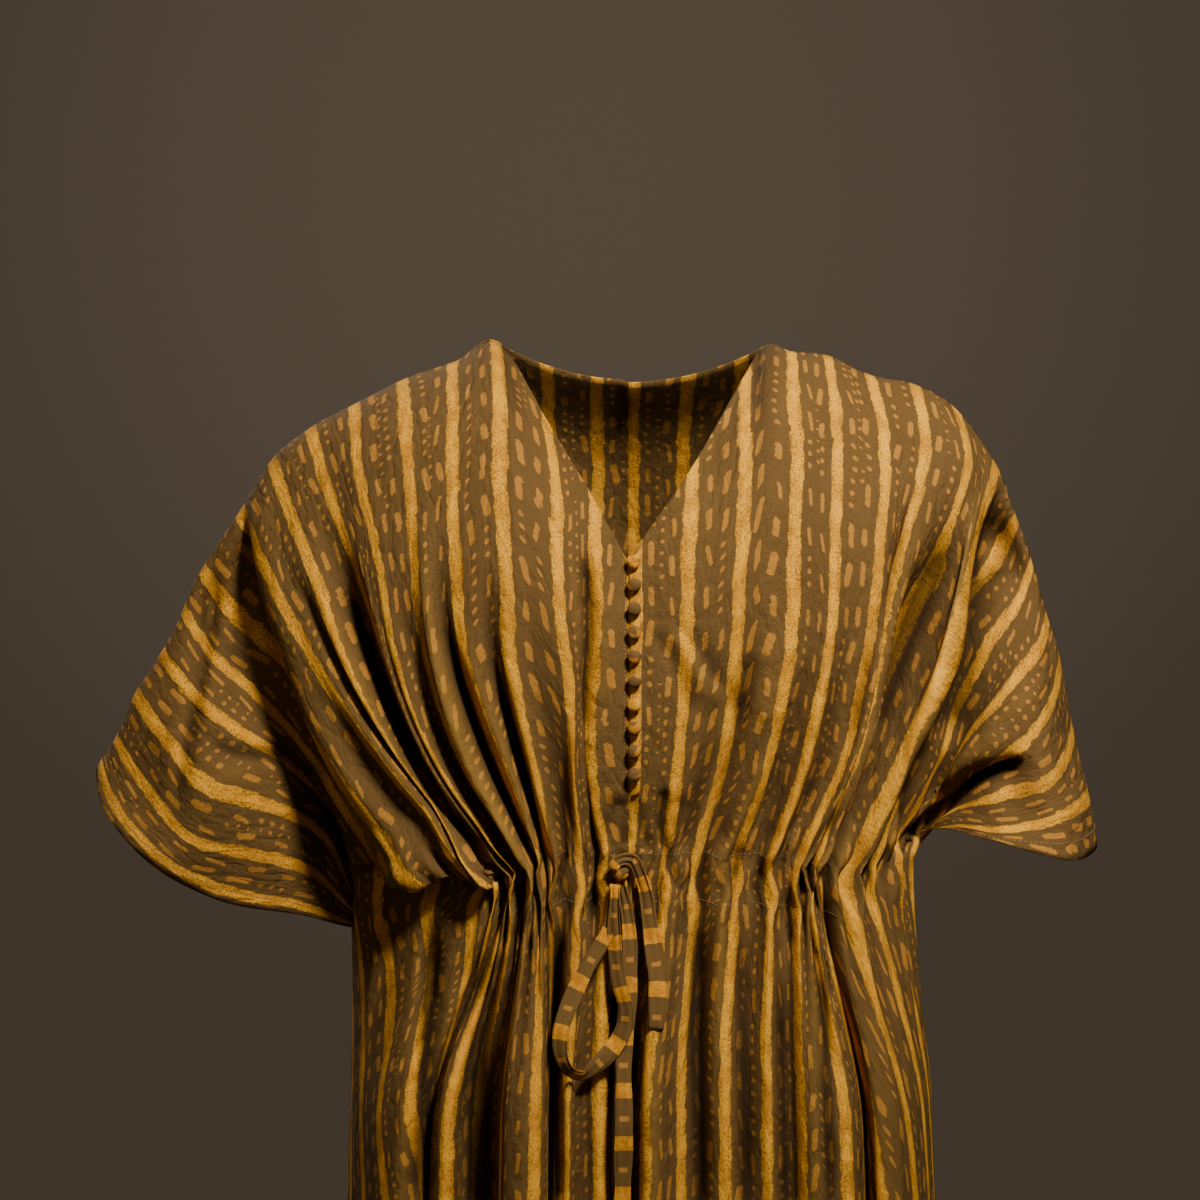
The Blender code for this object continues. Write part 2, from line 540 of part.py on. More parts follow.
def main():
    for old in list(bpy.data.objects):
        bpy.data.objects.remove(old)
    home = collection("cotton_kaftan")
    cloth = material("printed_cotton", (0.155, 0.085, 0.030), 0.85)
    trim = material("mustard_trim", (0.50, 0.27, 0.06), 0.80)

    left = [(-540, -430, 6), (-430, -290, 17), (-290, -80, 19), (-80, 0, 7)]
    right = [(0, 80, 7), (80, 290, 19), (290, 430, 17), (430, 540, 6)]
    us = spread_columns(left + right)
    ts = np.concatenate([np.linspace(0, 0.8, 10), np.linspace(0.86, 1, 4)])
    ss = np.array([0, 0.035, 0.07, 0.12, 0.18, 0.26, 0.38, 0.52, 0.68, 0.84, 1])
    top, low, body = panel_points(us, ts, ss, back=False)
    centre = int(np.argmin(np.abs(us)))
    count = int(np.searchsorted(ts, SLIT_END))
    front = sheet("front_panel", top, cloth, home, WALL, low, body, slit=(centre, count))
    keep_to_side(front, -1)
    strip_and_buttons(top, centre, count, trim, home)
    _, fine, _ = panel_points(us, ts, np.linspace(0, 1, 101), back=False)
    tie([top[:, -4:], fine], front, trim, home)

    us = spread_columns([(-540, -430, 6), (-430, 430, 60), (430, 540, 6)])
    ts = np.linspace(0, 1, 10)
    ss = np.array([0, 0.08, 0.18, 0.30, 0.48, 0.72, 1])
    top, low, body = panel_points(us, ts, ss, back=True)
    rear = sheet("back_panel", top, cloth, home, WALL, low, body)
    keep_to_side(rear, 1)


main()
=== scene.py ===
"""The kaftan's finished look: printed cotton panels, covered buttons, stitching, the
drawstring, studio light and camera. Metres, +Z up, the front faces -Y.
"""

import math

import bmesh
import bpy
import numpy as np
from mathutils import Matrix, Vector
from mathutils.bvhtree import BVHTree


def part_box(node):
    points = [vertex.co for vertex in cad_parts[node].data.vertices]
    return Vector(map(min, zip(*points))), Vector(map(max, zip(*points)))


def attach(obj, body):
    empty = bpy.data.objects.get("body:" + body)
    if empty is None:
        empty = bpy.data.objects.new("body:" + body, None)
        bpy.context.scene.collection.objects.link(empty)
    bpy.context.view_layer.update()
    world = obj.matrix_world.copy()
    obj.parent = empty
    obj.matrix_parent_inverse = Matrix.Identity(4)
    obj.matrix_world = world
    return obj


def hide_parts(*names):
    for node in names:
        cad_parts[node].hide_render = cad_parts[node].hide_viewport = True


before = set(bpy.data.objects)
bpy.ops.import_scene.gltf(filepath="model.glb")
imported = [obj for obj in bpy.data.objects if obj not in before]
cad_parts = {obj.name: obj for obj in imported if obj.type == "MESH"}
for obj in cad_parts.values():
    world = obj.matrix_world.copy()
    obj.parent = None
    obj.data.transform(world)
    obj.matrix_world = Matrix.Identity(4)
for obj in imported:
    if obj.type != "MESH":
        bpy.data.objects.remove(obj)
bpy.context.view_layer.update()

MM = 0.001
LOOK_DOWN = math.radians(9)
SEAM_GAP = 0.3 * MM
HALF_BODY = 430
HALF_CLOTH = 540
NECK_HALF = 88
SLIT_END = 0.77
HEM_DOWN = 1255
BACK_DEPTH = 104
CLOTH = 0.8 * MM
BUTTONS = 10
BUTTON_RADIUS = 5.2 * MM
TAPE_WIDE = 12 * MM
TAPE_THICK = 1.3 * MM
PHOTO_WIDE = 0.828
LENS = 200
SENSOR = 36
WAIST_DOWN = 352
SEWING_OFF = 0.4 * MM

# The chart of the front, as wide as the picture: millimetres a step, and the steps
# across and down to the middle of the shoulders.
CHART_STEP = 0.69
CHART_MIDDLE = 628
CHART_TOP = 349

# The drawstring's free parts as (across, down) places, from the knot outward.
RIGHT_TAIL = ((8.2, 354.4), (13.6, 370), (17, 393), (20, 412), (22, 428), (22, 446), (21, 463))
LEFT_TAIL = ((-5, 364.6), (-1, 387), (1, 409), (0, 440), (-3, 475), (-3, 530), (-4, 590), (-4, 628))
LOOP = (
    (-9, 366.6), (-12, 393), (-29, 424), (-39, 444), (-46, 464), (-46, 479), (-39, 492), (-31, 495),
    (-22, 489), (-10, 477), (-3, 464), (-3, 445), (-6, 436), (-8, 424), (-10, 396), (-9, 366.6),
)

# Each row is one line of the cloth as it hangs: how far from the centre it lies in
# the flat cut, then six stations of (across, down, forward), as seen from the front.
LEFT_LINES = (
    (0, (-1, 147, 104), (0, 180, 112), (0, 228, 120), (0, 277, 120), (0, 318, 114), (0, 347, 106)),
    (22, (-23, 106, 92), (-21, 152, 112), (-21, 201, 122), (-25, 242, 124), (-26, 297, 120), (-17, 347, 106)),
    (58, (-55, 52, 62), (-47, 118, 104), (-45, 173, 120), (-39, 228, 124), (-37, 284, 118), (-33, 347, 106)),
    (88, (-86, -1, 0), (-80, 63, 86), (-76, 146, 118), (-72, 221, 122), (-59, 290, 114), (-49, 347, 105)),
    (130, (-119, 10, 0), (-119, 63, 76), (-115, 139, 110), (-110, 208, 116), (-83, 290, 112), (-59, 348, 103)),
    (166, (-154, 22, 0), (-150, 63, 62), (-143, 139, 102), (-134, 211, 112), (-108, 290, 110), (-68, 351, 102)),
    (202, (-188, 39, 0), (-184, 77, 52), (-170, 139, 92), (-155, 215, 106), (-125, 290, 108), (-77, 354, 100)),
    (238, (-218, 55, 0), (-204, 94, 46), (-187, 146, 82), (-166, 211, 100), (-137, 287, 108), (-83, 357, 98)),
    (274, (-244, 76, 0), (-230, 111, 40), (-213, 156, 72), (-190, 215, 96), (-154, 280, 106), (-89, 358, 96)),
    (310, (-265, 109, 0), (-251, 143, 36), (-230, 184, 64), (-197, 234, 90), (-157, 290, 104), (-97, 358, 92)),
    (346, (-293, 151, 0), (-273, 181, 26), (-242, 216, 56), (-213, 266, 78), (-174, 322, 92), (-130, 362, 80)),
    (370, (-301, 166, 0), (-284, 198, 24), (-253, 228, 44), (-221, 270, 60), (-190, 326, 66), (-157, 365, 52)),
    (394, (-310, 188, 0), (-291, 217, 26), (-261, 244, 44), (-226, 277, 48), (-199, 328, 42), (-177, 366, 34)),
    (430, (-327, 217, 0), (-306, 244, 30), (-275, 270, 48), (-235, 293, 42), (-207, 319, 24), (-192, 369, 0)),
    (454, (-339, 235, 0), (-319, 264, 34), (-287, 297, 54), (-248, 311, 48), (-211, 331, 24), (-191, 377, 0)),
    (490, (-353, 266, 0), (-330, 301, 34), (-292, 336, 56), (-253, 346, 50), (-218, 358, 24), (-190, 388, 0)),
    (540, (-368, 289, 0), (-362, 315, 30), (-337, 346, 52), (-285, 378, 54), (-226, 391, 26), (-190, 400, 0)),
)
RIGHT_LINES = (
    (0, (-1, 147, 104), (0, 180, 112), (0, 228, 120), (0, 277, 120), (0, 318, 114), (0, 347, 106)),
    (39, (43, 83, 84), (39, 132, 108), (37, 180, 118), (37, 235, 122), (32, 290, 118), (25, 347, 106)),
    (76, (80, 19, 24), (79, 63, 80), (75, 132, 112), (72, 201, 120), (65, 277, 116), (46, 348, 105)),
    (88, (91, 1, 0), (88, 63, 84), (86, 132, 112), (83, 201, 120), (76, 277, 116), (55, 348, 105)),
    (112, (112, 3, 0), (113, 56, 76), (110, 125, 108), (110, 201, 118), (97, 273, 115), (74, 348, 104)),
    (149, (138, 6, 0), (141, 56, 66), (139, 125, 102), (135, 201, 114), (121, 273, 112), (97, 349, 103)),
    (185, (166, 19, 0), (174, 63, 56), (171, 125, 92), (161, 201, 106), (148, 273, 108), (114, 351, 101)),
    (222, (198, 26, 0), (203, 70, 46), (190, 125, 80), (175, 187, 94), (161, 263, 104), (123, 354, 99)),
    (258, (226, 43, 0), (233, 83, 40), (218, 132, 66), (192, 188, 76), (164, 266, 92), (131, 357, 96)),
    (295, (254, 82, 0), (241, 121, 36), (226, 166, 72), (214, 218, 84), (189, 273, 90), (148, 358, 88)),
    (331, (268, 119, 0), (258, 147, 22), (233, 177, 44), (219, 218, 60), (200, 287, 66), (168, 354, 72)),
    (368, (279, 149, 0), (270, 175, 26), (250, 204, 46), (230, 237, 50), (214, 287, 50), (186, 353, 48)),
    (404, (290, 187, 0), (282, 209, 32), (264, 231, 58), (239, 259, 60), (215, 304, 42), (195, 351, 24)),
    (430, (296, 204, 0), (290, 232, 38), (272, 257, 70), (248, 278, 70), (222, 310, 46), (197, 348, 0)),
    (441, (299, 218, 0), (293, 242, 38), (275, 268, 72), (251, 285, 74), (225, 313, 50), (199, 344, 0)),
    (477, (308, 263, 0), (302, 285, 42), (282, 303, 80), (253, 310, 84), (226, 317, 56), (201, 337, 0)),
    (514, (319, 309, 0), (315, 315, 44), (291, 325, 86), (259, 331, 90), (228, 329, 60), (202, 331, 0)),
    (540, (325, 340, 0), (319, 347, 46), (297, 350, 92), (262, 341, 96), (228, 332, 62), (203, 328, 0)),
)

# The front skirt at knee height, out from its middle to each side seam: the place in
# the flat cut, then (across, forward) round the pleats.
SKIRT_LEFT = (
    (0, -4, 84), (10, -9, 100), (18, -13, 112), (22, -19, 112), (33, -28, 106), (43, -36, 112),
    (58, -42, 126), (63, -47, 124), (80, -50, 100), (88, -52, 88), (103, -54, 110), (123, -55, 138),
    (130, -60, 144), (142, -72, 146), (151, -80, 142), (160, -84, 134), (177, -87, 110), (190, -90, 92),
    (199, -98, 84), (209, -108, 86), (220, -114, 98), (233, -118, 114), (239, -124, 122), (246, -130, 118),
    (259, -134, 100), (273, -137, 80), (284, -140, 96), (295, -144, 108), (308, -156, 104), (328, -168, 88),
    (356, -178, 62), (392, -185, 32), (430, -187, 0),
)
SKIRT_RIGHT = (
    (0, -4, 84), (12, 2, 100), (30, 5, 126), (38, 9, 138), (45, 16, 138), (59, 24, 126),
    (69, 30, 119), (76, 34, 116), (89, 46, 124), (106, 58, 136), (112, 62, 138), (123, 72, 134),
    (134, 80, 126), (144, 88, 132), (150, 92, 136), (161, 101, 128), (172, 108, 118), (183, 114, 128),
    (187, 117, 132), (198, 126, 138), (210, 138, 138), (222, 149, 131), (234, 155, 118), (252, 158, 92),
    (263, 160, 76), (276, 163, 94), (289, 168, 110), (298, 177, 108), (318, 188, 92), (346, 197, 66),
    (385, 203, 34), (430, 206, 0),
)

# Where the bodice's big drapes end, and where the right sleeve rolls in: (the part of
# the line from the shoulder down, the place in the flat cut).
LEFT_EDGE = ((0, 303), (0.2, 322), (0.4, 342), (0.6, 354), (0.8, 364), (0.93, 368), (1, 372))
RIGHT_EDGE = ((0, 300), (0.2, 298), (0.4, 302), (0.6, 314), (0.8, 332), (1, 356))
ROLL_EDGE = ((0, 450), (0.42, 448), (0.6, 430), (0.8, 402), (1, 372))

# Folds of the bodice: place in the flat cut at the top and at the waist, half width,
# height (a trough is below nought), and the part of the line where it starts and is full.
BODICE_FOLDS = (
    (-32, -30, 7, -9, 0.05, 0.35), (-58, -56, 7, 6, 0.50, 0.90), (-76, -74, 10, -7, 0.45, 0.90),
    (-93, -94, 8, 8, 0.40, 0.80), (-107, -109, 6, -12, 0.42, 0.82), (-128, -126, 8, 8, 0.42, 0.85),
    (-146, -146, 6, -16, 0.36, 0.74), (-158, -160, 8, 14, 0.26, 0.70), (-186, -180, 9, -7, 0.35, 0.80),
    (-208, -200, 9, 7, 0.35, 0.80), (-236, -222, 9, 8, 0.25, 0.70), (-258, -246, 14, -21, 0.12, 0.55),
    (-276, -270, 9, 8, 0.20, 0.65), (-294, -290, 6, -8, 0.15, 0.55), (-311, -308, 9, 6, 0.25, 0.70),
    (-330, -326, 10, -6, 0.35, 0.75), (62, 60, 8, -6, 0.50, 0.90), (84, 80, 8, -9, 0.45, 0.85),
    (112, 100, 10, 7, 0.45, 0.90), (130, 124, 8, -9, 0.50, 0.90), (149, 148, 8, 9, 0.40, 0.80),
    (168, 166, 8, -8, 0.35, 0.85), (194, 198, 8, 9, 0.25, 0.70), (218, 217, 6, -11, 0.22, 0.66),
    (234, 236, 7, 6, 0.30, 0.70), (262, 264, 16, -19, 0.12, 0.45), (292, 300, 8, 11, 0.14, 0.50),
    (326, 330, 10, -8, 0.20, 0.60), (386, 380, 12, -7, 0.10, 0.40), (420, 412, 10, 6, 0.12, 0.45),
)

# The fine gathers that the drawstring draws up: place in the flat cut and height.
GATHERS = (
    (-20, 4), (-44, 3), (-68, 5), (-87, 8), (-105, 9), (-123, 10), (-142, 9), (-161, 10),
    (-180, 9), (-199, 10), (-218, 9), (-237, 10), (-256, 8), (-276, 6), (-297, 4), (-322, 4),
    (-352, 5), (-384, 4), (30, 3), (52, 4), (74, 3), (98, 5), (122, 5), (146, 7), (167, 9),
    (186, 10), (204, 9), (223, 10), (242, 9), (261, 8), (281, 7), (304, 5), (332, 5), (366, 4),
)


def place(across, down, forward):
    """A point seen from the front, a little above, as a place in the room."""
    z = -down / math.cos(LOOK_DOWN) + forward * math.tan(LOOK_DOWN)
    return np.stack([across * MM, -forward * MM, z * MM], axis=-1)


def smooth(x):
    x = np.clip(x, 0, 1)
    return x * x * (3 - 2 * x)


def lengths(points):
    """How far along a line of points each one lies."""
    return np.concatenate([[0], np.cumsum(np.linalg.norm(np.diff(points, axis=0), axis=1))])


def between(i, t, h, values, slope):
    """The smooth curve at share t of its steps i, each h long."""
    return (
        (2 * t**3 - 3 * t**2 + 1) * values[i]
        + (t**3 - 2 * t**2 + t) * h * slope[i]
        + (3 * t**2 - 2 * t**3) * values[i + 1]
        + (t**3 - t**2) * h * slope[i + 1]
    )


def through(knots, values, at):
    """A smooth curve through the values, one for each knot, read at other places."""
    knots = np.asarray(knots, float)
    values = np.asarray(values, float)
    slope = np.gradient(values, knots, axis=0)
    i = np.clip(np.searchsorted(knots, at, side="right") - 1, 0, len(knots) - 2)
    h = knots[i + 1] - knots[i]
    t = (at - knots[i]) / h
    shape = (-1,) + (1,) * (values.ndim - 1)
    return between(i, t.reshape(shape), h.reshape(shape), values, slope)


def along(points, steps, first=None, last=None):
    """Even steps along a smooth curve through six stations, leaving and arriving as told."""
    knots = lengths(points)
    fine = np.linspace(0, knots[-1], 121)
    slope = np.gradient(points, knots, axis=0)
    if first is not None:
        slope[0] = first
    if last is not None:
        slope[-1] = last
    i = np.clip(np.searchsorted(knots, fine, side="right") - 1, 0, len(knots) - 2)
    h = (knots[i + 1] - knots[i])[:, None]
    t = (fine[:, None] - knots[i][:, None]) / h
    line = between(i, t, h, points, slope)
    run = lengths(line)
    return np.stack([np.interp(steps * run[-1], run, line[:, k]) for k in range(3)], axis=1), run[-1]


def stations(u, back):
    """The six stations of the line of cloth at u, for the front or the back."""
    rows = LEFT_LINES if u < 0 else RIGHT_LINES
    knots = [row[0] for row in rows]
    table = np.array([row[1:] for row in rows], float).reshape(len(rows), 18)
    flat = abs(float(u))
    six = through(knots, table, np.array([flat]))[0].reshape(6, 3)
    seam = flat >= NECK_HALF
    if not back:
        return six, seam
    if flat < NECK_HALF:
        rise = 1 - (flat / NECK_HALF) ** 2
        corner = table[knots.index(NECK_HALF)].reshape(6, 3)[0]
        six[0] = (corner[0] * flat / NECK_HALF, corner[1] + 22 * rise, -30 * rise)
    wing = six * (1, 1, -0.9)
    if flat >= HALF_BODY:
        return wing, seam
    side = table[knots.index(HALF_BODY)].reshape(6, 3)[5]
    turn = flat / HALF_BODY * math.pi / 2
    down = WAIST_DOWN + (side[1] - WAIST_DOWN) * (flat / HALF_BODY) ** 4
    end = np.array((side[0] * math.sin(turn), down, 0))
    round_it = 0.25 + 0.75 * math.cos(turn)
    body = np.array(
        [
            six[0] + (end - six[0]) * (t, t, 0) + (0, 0, -BACK_DEPTH * deep * round_it)
            for t, deep in ((0, 0), (0.14, 0.52), (0.36, 0.82), (0.60, 0.92), (0.82, 0.97), (1, 1))
        ]
    )
    body[0] = six[0]
    body[5][2] = -BACK_DEPTH * math.cos(turn)
    w = float(smooth((HALF_BODY - flat) / 110))
    return body * w + wing * (1 - w), seam


def upper(us, ts, back=False):
    """Points of a panel from its top edge to the waist or underarm, and each line's length."""
    grid = np.zeros((len(us), len(ts), 3))
    long = np.zeros(len(us))
    away = 1.0 if back else -1.0
    for i, u in enumerate(us):
        six, seam = stations(u, back)
        points = place(six[:, 0], six[:, 1], six[:, 2])
        first = np.array([0, away, 0]) if seam else None
        last = np.array([0, -away, 0]) if abs(u) >= HALF_BODY else None
        grid[i], long[i] = along(points, ts, first, last)
    return grid, long


def facing(grid, away):
    """The outward normals of a grid of points."""
    across = np.gradient(grid, axis=0)
    down = np.gradient(grid, axis=1)
    out = np.cross(across, down)
    out /= np.maximum(np.linalg.norm(out, axis=2, keepdims=True), 1e-9)
    middle = out[len(out) // 2, out.shape[1] // 2]
    return out if middle[1] * away > 0 else -out


def bump(u, centre, half):
    return np.exp(-(((u - centre) / half) ** 2))


def bodice_relief(us, ts):
    """How far the folds and gathers lift the front bodice."""
    u, t = np.meshgrid(us, ts, indexing="ij")
    lift = np.zeros_like(u)
    for top, waist, half, height, start, full in BODICE_FOLDS:
        centre = top + (waist - top) * t
        grow = smooth((t - start) / (full - start))
        ease = 1 - 0.35 * smooth((t - 0.9) / 0.1)
        lift += bump(u, centre, half * (1.15 - 0.15 * t)) * height * grow * ease
    for centre, height in GATHERS:
        lift += bump(u, centre, 5.5) * height * smooth((t - 0.86) / 0.12)
    # The upright pleat down the left sleeve.
    lift += 9 * bump(t, 0.40, 0.09) * smooth((-400 - u) / 60)
    return lift


def drape_shift(us, ts):
    """Where the drapes' edges overhang: shifts (across, down, forward) of the front."""
    u, t = np.meshgrid(us, ts, indexing="ij")
    shift = np.zeros(u.shape + (3,))
    for side, rows, deep, under in ((-1, LEFT_EDGE, 18, 10), (1, RIGHT_EDGE, 19, 8), (1, ROLL_EDGE, 15, 9)):
        at, line = np.array(rows).T
        beyond = u * side - np.interp(t, at, line)
        reach = smooth(t / 0.12) * (1 - smooth((t - 0.93) / 0.07))
        if rows is ROLL_EDGE:
            reach = smooth((t - 0.36) / 0.14) * (1 - smooth((t - 0.92) / 0.08))
        drop = smooth((beyond + 3) / 9) * (1 - smooth((beyond - 34) / 70))
        tuck = smooth((beyond + 1) / 8) * (1 - smooth((beyond - 9) / 34))
        ridge = bump(beyond, -12, 13) * 0.35
        mine = (u * side > 0) * reach
        shift[..., 2] += deep * (ridge - drop) * mine
        if rows is ROLL_EDGE:
            shift[..., 1] -= under * tuck * mine
        else:
            shift[..., 0] -= side * under * tuck * mine
    # The cloth over the waist blouses out at the left and hangs over the casing.
    pouch = smooth((u + 388) / 22) * smooth((-232 - u) / 26)
    hang = smooth((t - 0.80) / 0.13) * (1 - smooth((t - 0.95) / 0.048))
    shift[..., 1] += 14 * pouch * hang
    shift[..., 2] += 12 * pouch * hang
    return shift


def back_waves(us):
    """The deep soft folds in which the wide back hangs."""
    flat = np.abs(us) / HALF_BODY
    return np.cos(us * (2 * math.pi / 86)) * smooth((1 - flat) / 0.16)


def section(us, left):
    """Places round the pleated front skirt at knee height, for places in the cut."""
    rows = np.array(SKIRT_LEFT if left else SKIRT_RIGHT, float)
    return through(rows[:, 0], rows[:, 1:], np.abs(us))


def skirt(us, ss, waist, back=False):
    """Points of the skirt from below the waist to the hem, for each place in the cut."""
    if back:
        turn = us / HALF_BODY * math.pi / 2
        wide = np.where(us < 0, -SKIRT_LEFT[-1][1], SKIRT_RIGHT[-1][1])
        knee = np.stack([np.sin(turn) * wide, np.cos(turn) * 112 + 15 * back_waves(us)], axis=1)
    else:
        knee = np.where((us < 0)[:, None], section(us, True), section(us, False))
    sign = 1 if back else -1
    grid = np.zeros((len(us), len(ss), 3))
    hem = -HEM_DOWN * MM
    for j, s in enumerate(ss):
        open_out = float(smooth(s / 0.20)) * 0.85 + 0.15 * s
        flare = 1 + 0.20 * s
        soft = 1 - 0.18 * float(smooth((s - 0.5) / 0.5))
        x = knee[:, 0] * flare
        y = knee[:, 1] * MM * soft * (1 + 0.16 * s)
        grid[:, j, 0] = waist[:, 0] + (x * MM - waist[:, 0]) * open_out
        grid[:, j, 1] = waist[:, 1] + (sign * y - waist[:, 1]) * open_out
        grid[:, j, 2] = waist[:, 2] + (hem - waist[:, 2]) * s
    return grid


def panel_points(us, ts, ss, back):
    """The middle surface of a panel: upper rows for all lines, skirt rows for the body's."""
    away = 1 if back else -1
    top, _ = upper(us, ts, back)
    edge = smooth((HALF_CLOTH + 6 - np.abs(us)) / 12)[:, None]
    hold = smooth(ts / 0.08)[None, :] * edge
    seam = 1 - smooth((np.abs(us)[:, None] - 392) / 36) * smooth((ts[None, :] - 0.8) / 0.2)
    if back:
        lift = 11 * back_waves(us)[:, None] * smooth((ts - 0.12) / 0.6)[None, :]
    else:
        lift = bodice_relief(us, ts)
        shift = drape_shift(us, ts) * (hold * seam)[:, :, None]
        top = top + place(shift[..., 0], shift[..., 1], shift[..., 2])
    top = top + facing(top, away) * (lift * MM * hold * seam)[:, :, None]
    body = np.abs(us) <= HALF_BODY
    low = skirt(us[body], ss, top[body][:, -1], back)
    limit = SEAM_GAP / 2
    for grid in (top, low):
        grid[:, :, 1] = np.maximum(grid[:, :, 1], limit) if back else np.minimum(grid[:, :, 1], -limit)
    return top, low, body


def studio_camera():
    """The camera, a little above the waist, framed as wide as the picture."""
    data = bpy.data.cameras.new("camera")
    data.lens = LENS
    data.sensor_width = SENSOR
    data.clip_end = 50
    made = bpy.data.objects.new("camera", data)
    bpy.context.scene.collection.objects.link(made)
    aim = Vector((-0.0193, 0, -0.1754))
    far = LENS / SENSOR * PHOTO_WIDE
    made.location = aim + Vector((0, -math.cos(LOOK_DOWN), math.sin(LOOK_DOWN))) * far
    made.rotation_euler = (math.radians(90) - LOOK_DOWN, 0, 0)
    bpy.context.scene.camera = made


class Value:
    """A node socket that can be added, multiplied and compared like a number."""

    def __init__(self, tree, socket):
        self.tree = tree
        self.socket = socket

    def math(self, way, *others, clamp=False):
        node = self.tree.nodes.new("ShaderNodeMath")
        node.operation = way
        node.use_clamp = clamp
        for slot, value in zip(node.inputs, (self,) + others):
            feed(self.tree, slot, value)
        return Value(self.tree, node.outputs[0])

    def __add__(self, other):
        return self.math("ADD", other)

    def __sub__(self, other):
        return self.math("SUBTRACT", other)

    def __mul__(self, other):
        return self.math("MULTIPLY", other)

    def __truediv__(self, other):
        return self.math("DIVIDE", other)

    def __rsub__(self, other):
        return (self * -1.0) + other

    __radd__ = __add__
    __rmul__ = __mul__

    def abs(self):
        return self.math("ABSOLUTE")

    def floor(self):
        return self.math("FLOOR")

    def wrap(self, size):
        """The remainder from the nearest whole multiple, from minus to plus half a size."""
        return self - ((self / size + 0.5).floor() * size)

    def below(self, edge, soft=0.25):
        """One where the value is under the edge, nought above it, with a soft step."""
        return ((self - edge) * (-1.0 / soft) + 0.5).clipped()

    def clipped(self):
        return self.math("ADD", 0.0, clamp=True)


def distance(x, y):
    return (x.math("POWER", 2.0) + y.math("POWER", 2.0)).math("SQRT")


def tinted(colour, share):
    return [c * share for c in colour]


def feed(tree, slot, value):
    if isinstance(value, Value):
        tree.links.new(value.socket, slot)
    elif hasattr(value, "__len__"):
        slot.default_value = (*value, 1) if len(slot.default_value) == 4 and len(value) == 3 else value
    else:
        slot.default_value = value


class Maker:
    """Makes the nodes of one material."""

    def __init__(self, name):
        self.material = bpy.data.materials.new(name)
        self.material.use_nodes = True
        self.tree = self.material.node_tree
        self.shader = self.tree.nodes["Principled BSDF"]

    def node(self, kind, out=0, settings=(), **inputs):
        made = self.tree.nodes.new(kind)
        for key, value in settings:
            setattr(made, key, value)
        for key, value in inputs.items():
            name = key.replace("_", " ")
            feed(self.tree, made.inputs[name], value)
        return Value(self.tree, made.outputs[out])

    def split(self, vector):
        made = self.tree.nodes.new("ShaderNodeSeparateXYZ")
        feed(self.tree, made.inputs[0], vector)
        return [Value(self.tree, made.outputs[k]) for k in range(3)]

    def join(self, x, y, z=0.0):
        made = self.tree.nodes.new("ShaderNodeCombineXYZ")
        for slot, value in zip(made.inputs, (x, y, z)):
            feed(self.tree, slot, value)
        return Value(self.tree, made.outputs[0])

    def cloth_place(self):
        """The place in the flat cut, in millimetres: across, down and both together."""
        u, v, _ = self.split(self.node("ShaderNodeUVMap", 0, (("uv_map", "cloth"),)))
        across = u * 1000.0
        down = v * 1000.0
        return across, down, self.join(across, down)

    def noise(self, vector, scale, detail=2.0, rough=0.5):
        return self.node(
            "ShaderNodeTexNoise", Vector=vector, Scale=scale, Detail=detail, Roughness=rough
        )

    def chance(self, x, y, z=0.0):
        return self.node(
            "ShaderNodeTexWhiteNoise", 0, (("noise_dimensions", "3D"),), Vector=self.join(x, y, z)
        )

    def mix(self, share, a, b):
        made = self.tree.nodes.new("ShaderNodeMix")
        made.data_type = "RGBA"
        feed(self.tree, made.inputs["Factor"], share)
        rgba = [slot for slot in made.inputs if slot.type == "RGBA"]
        for slot, value in zip(rgba, (a, b)):
            feed(self.tree, slot, value)
        return Value(self.tree, [o for o in made.outputs if o.type == "RGBA"][0])

    def set(self, **inputs):
        for key, value in inputs.items():
            feed(self.tree, self.shader.inputs[key.replace("_", " ")], value)

    def bump(self, height, strength, distance):
        made = self.tree.nodes.new("ShaderNodeBump")
        made.inputs["Strength"].default_value = strength
        made.inputs["Distance"].default_value = distance
        feed(self.tree, made.inputs["Height"], height)
        self.tree.links.new(made.outputs[0], self.shader.inputs["Normal"])


GROUND = (0.132, 0.071, 0.0200)
STRIPE = (0.88, 0.412, 0.028)
STRIPE_DARK = (0.42, 0.160, 0.012)
WORN = (0.200, 0.090, 0.012)
TIE_LIT = (0.68, 0.305, 0.018)
DASH = (0.440, 0.192, 0.030)
PITCH = 36.2


def weave_height(make, across, down, step=0.55):
    """Plain weave: threads over and under, with slubs."""
    one = (across * (2 * math.pi / step)).math("SINE")
    two = (down * (2 * math.pi / step)).math("SINE")
    slub = make.noise(make.join(across * 0.25, down * 2.2), 1.0, 3.0)
    slub_two = make.noise(make.join(across * 2.2, down * 0.25), 1.0, 3.0)
    return one * two * 0.30 + slub * 0.5 + slub_two * 0.5


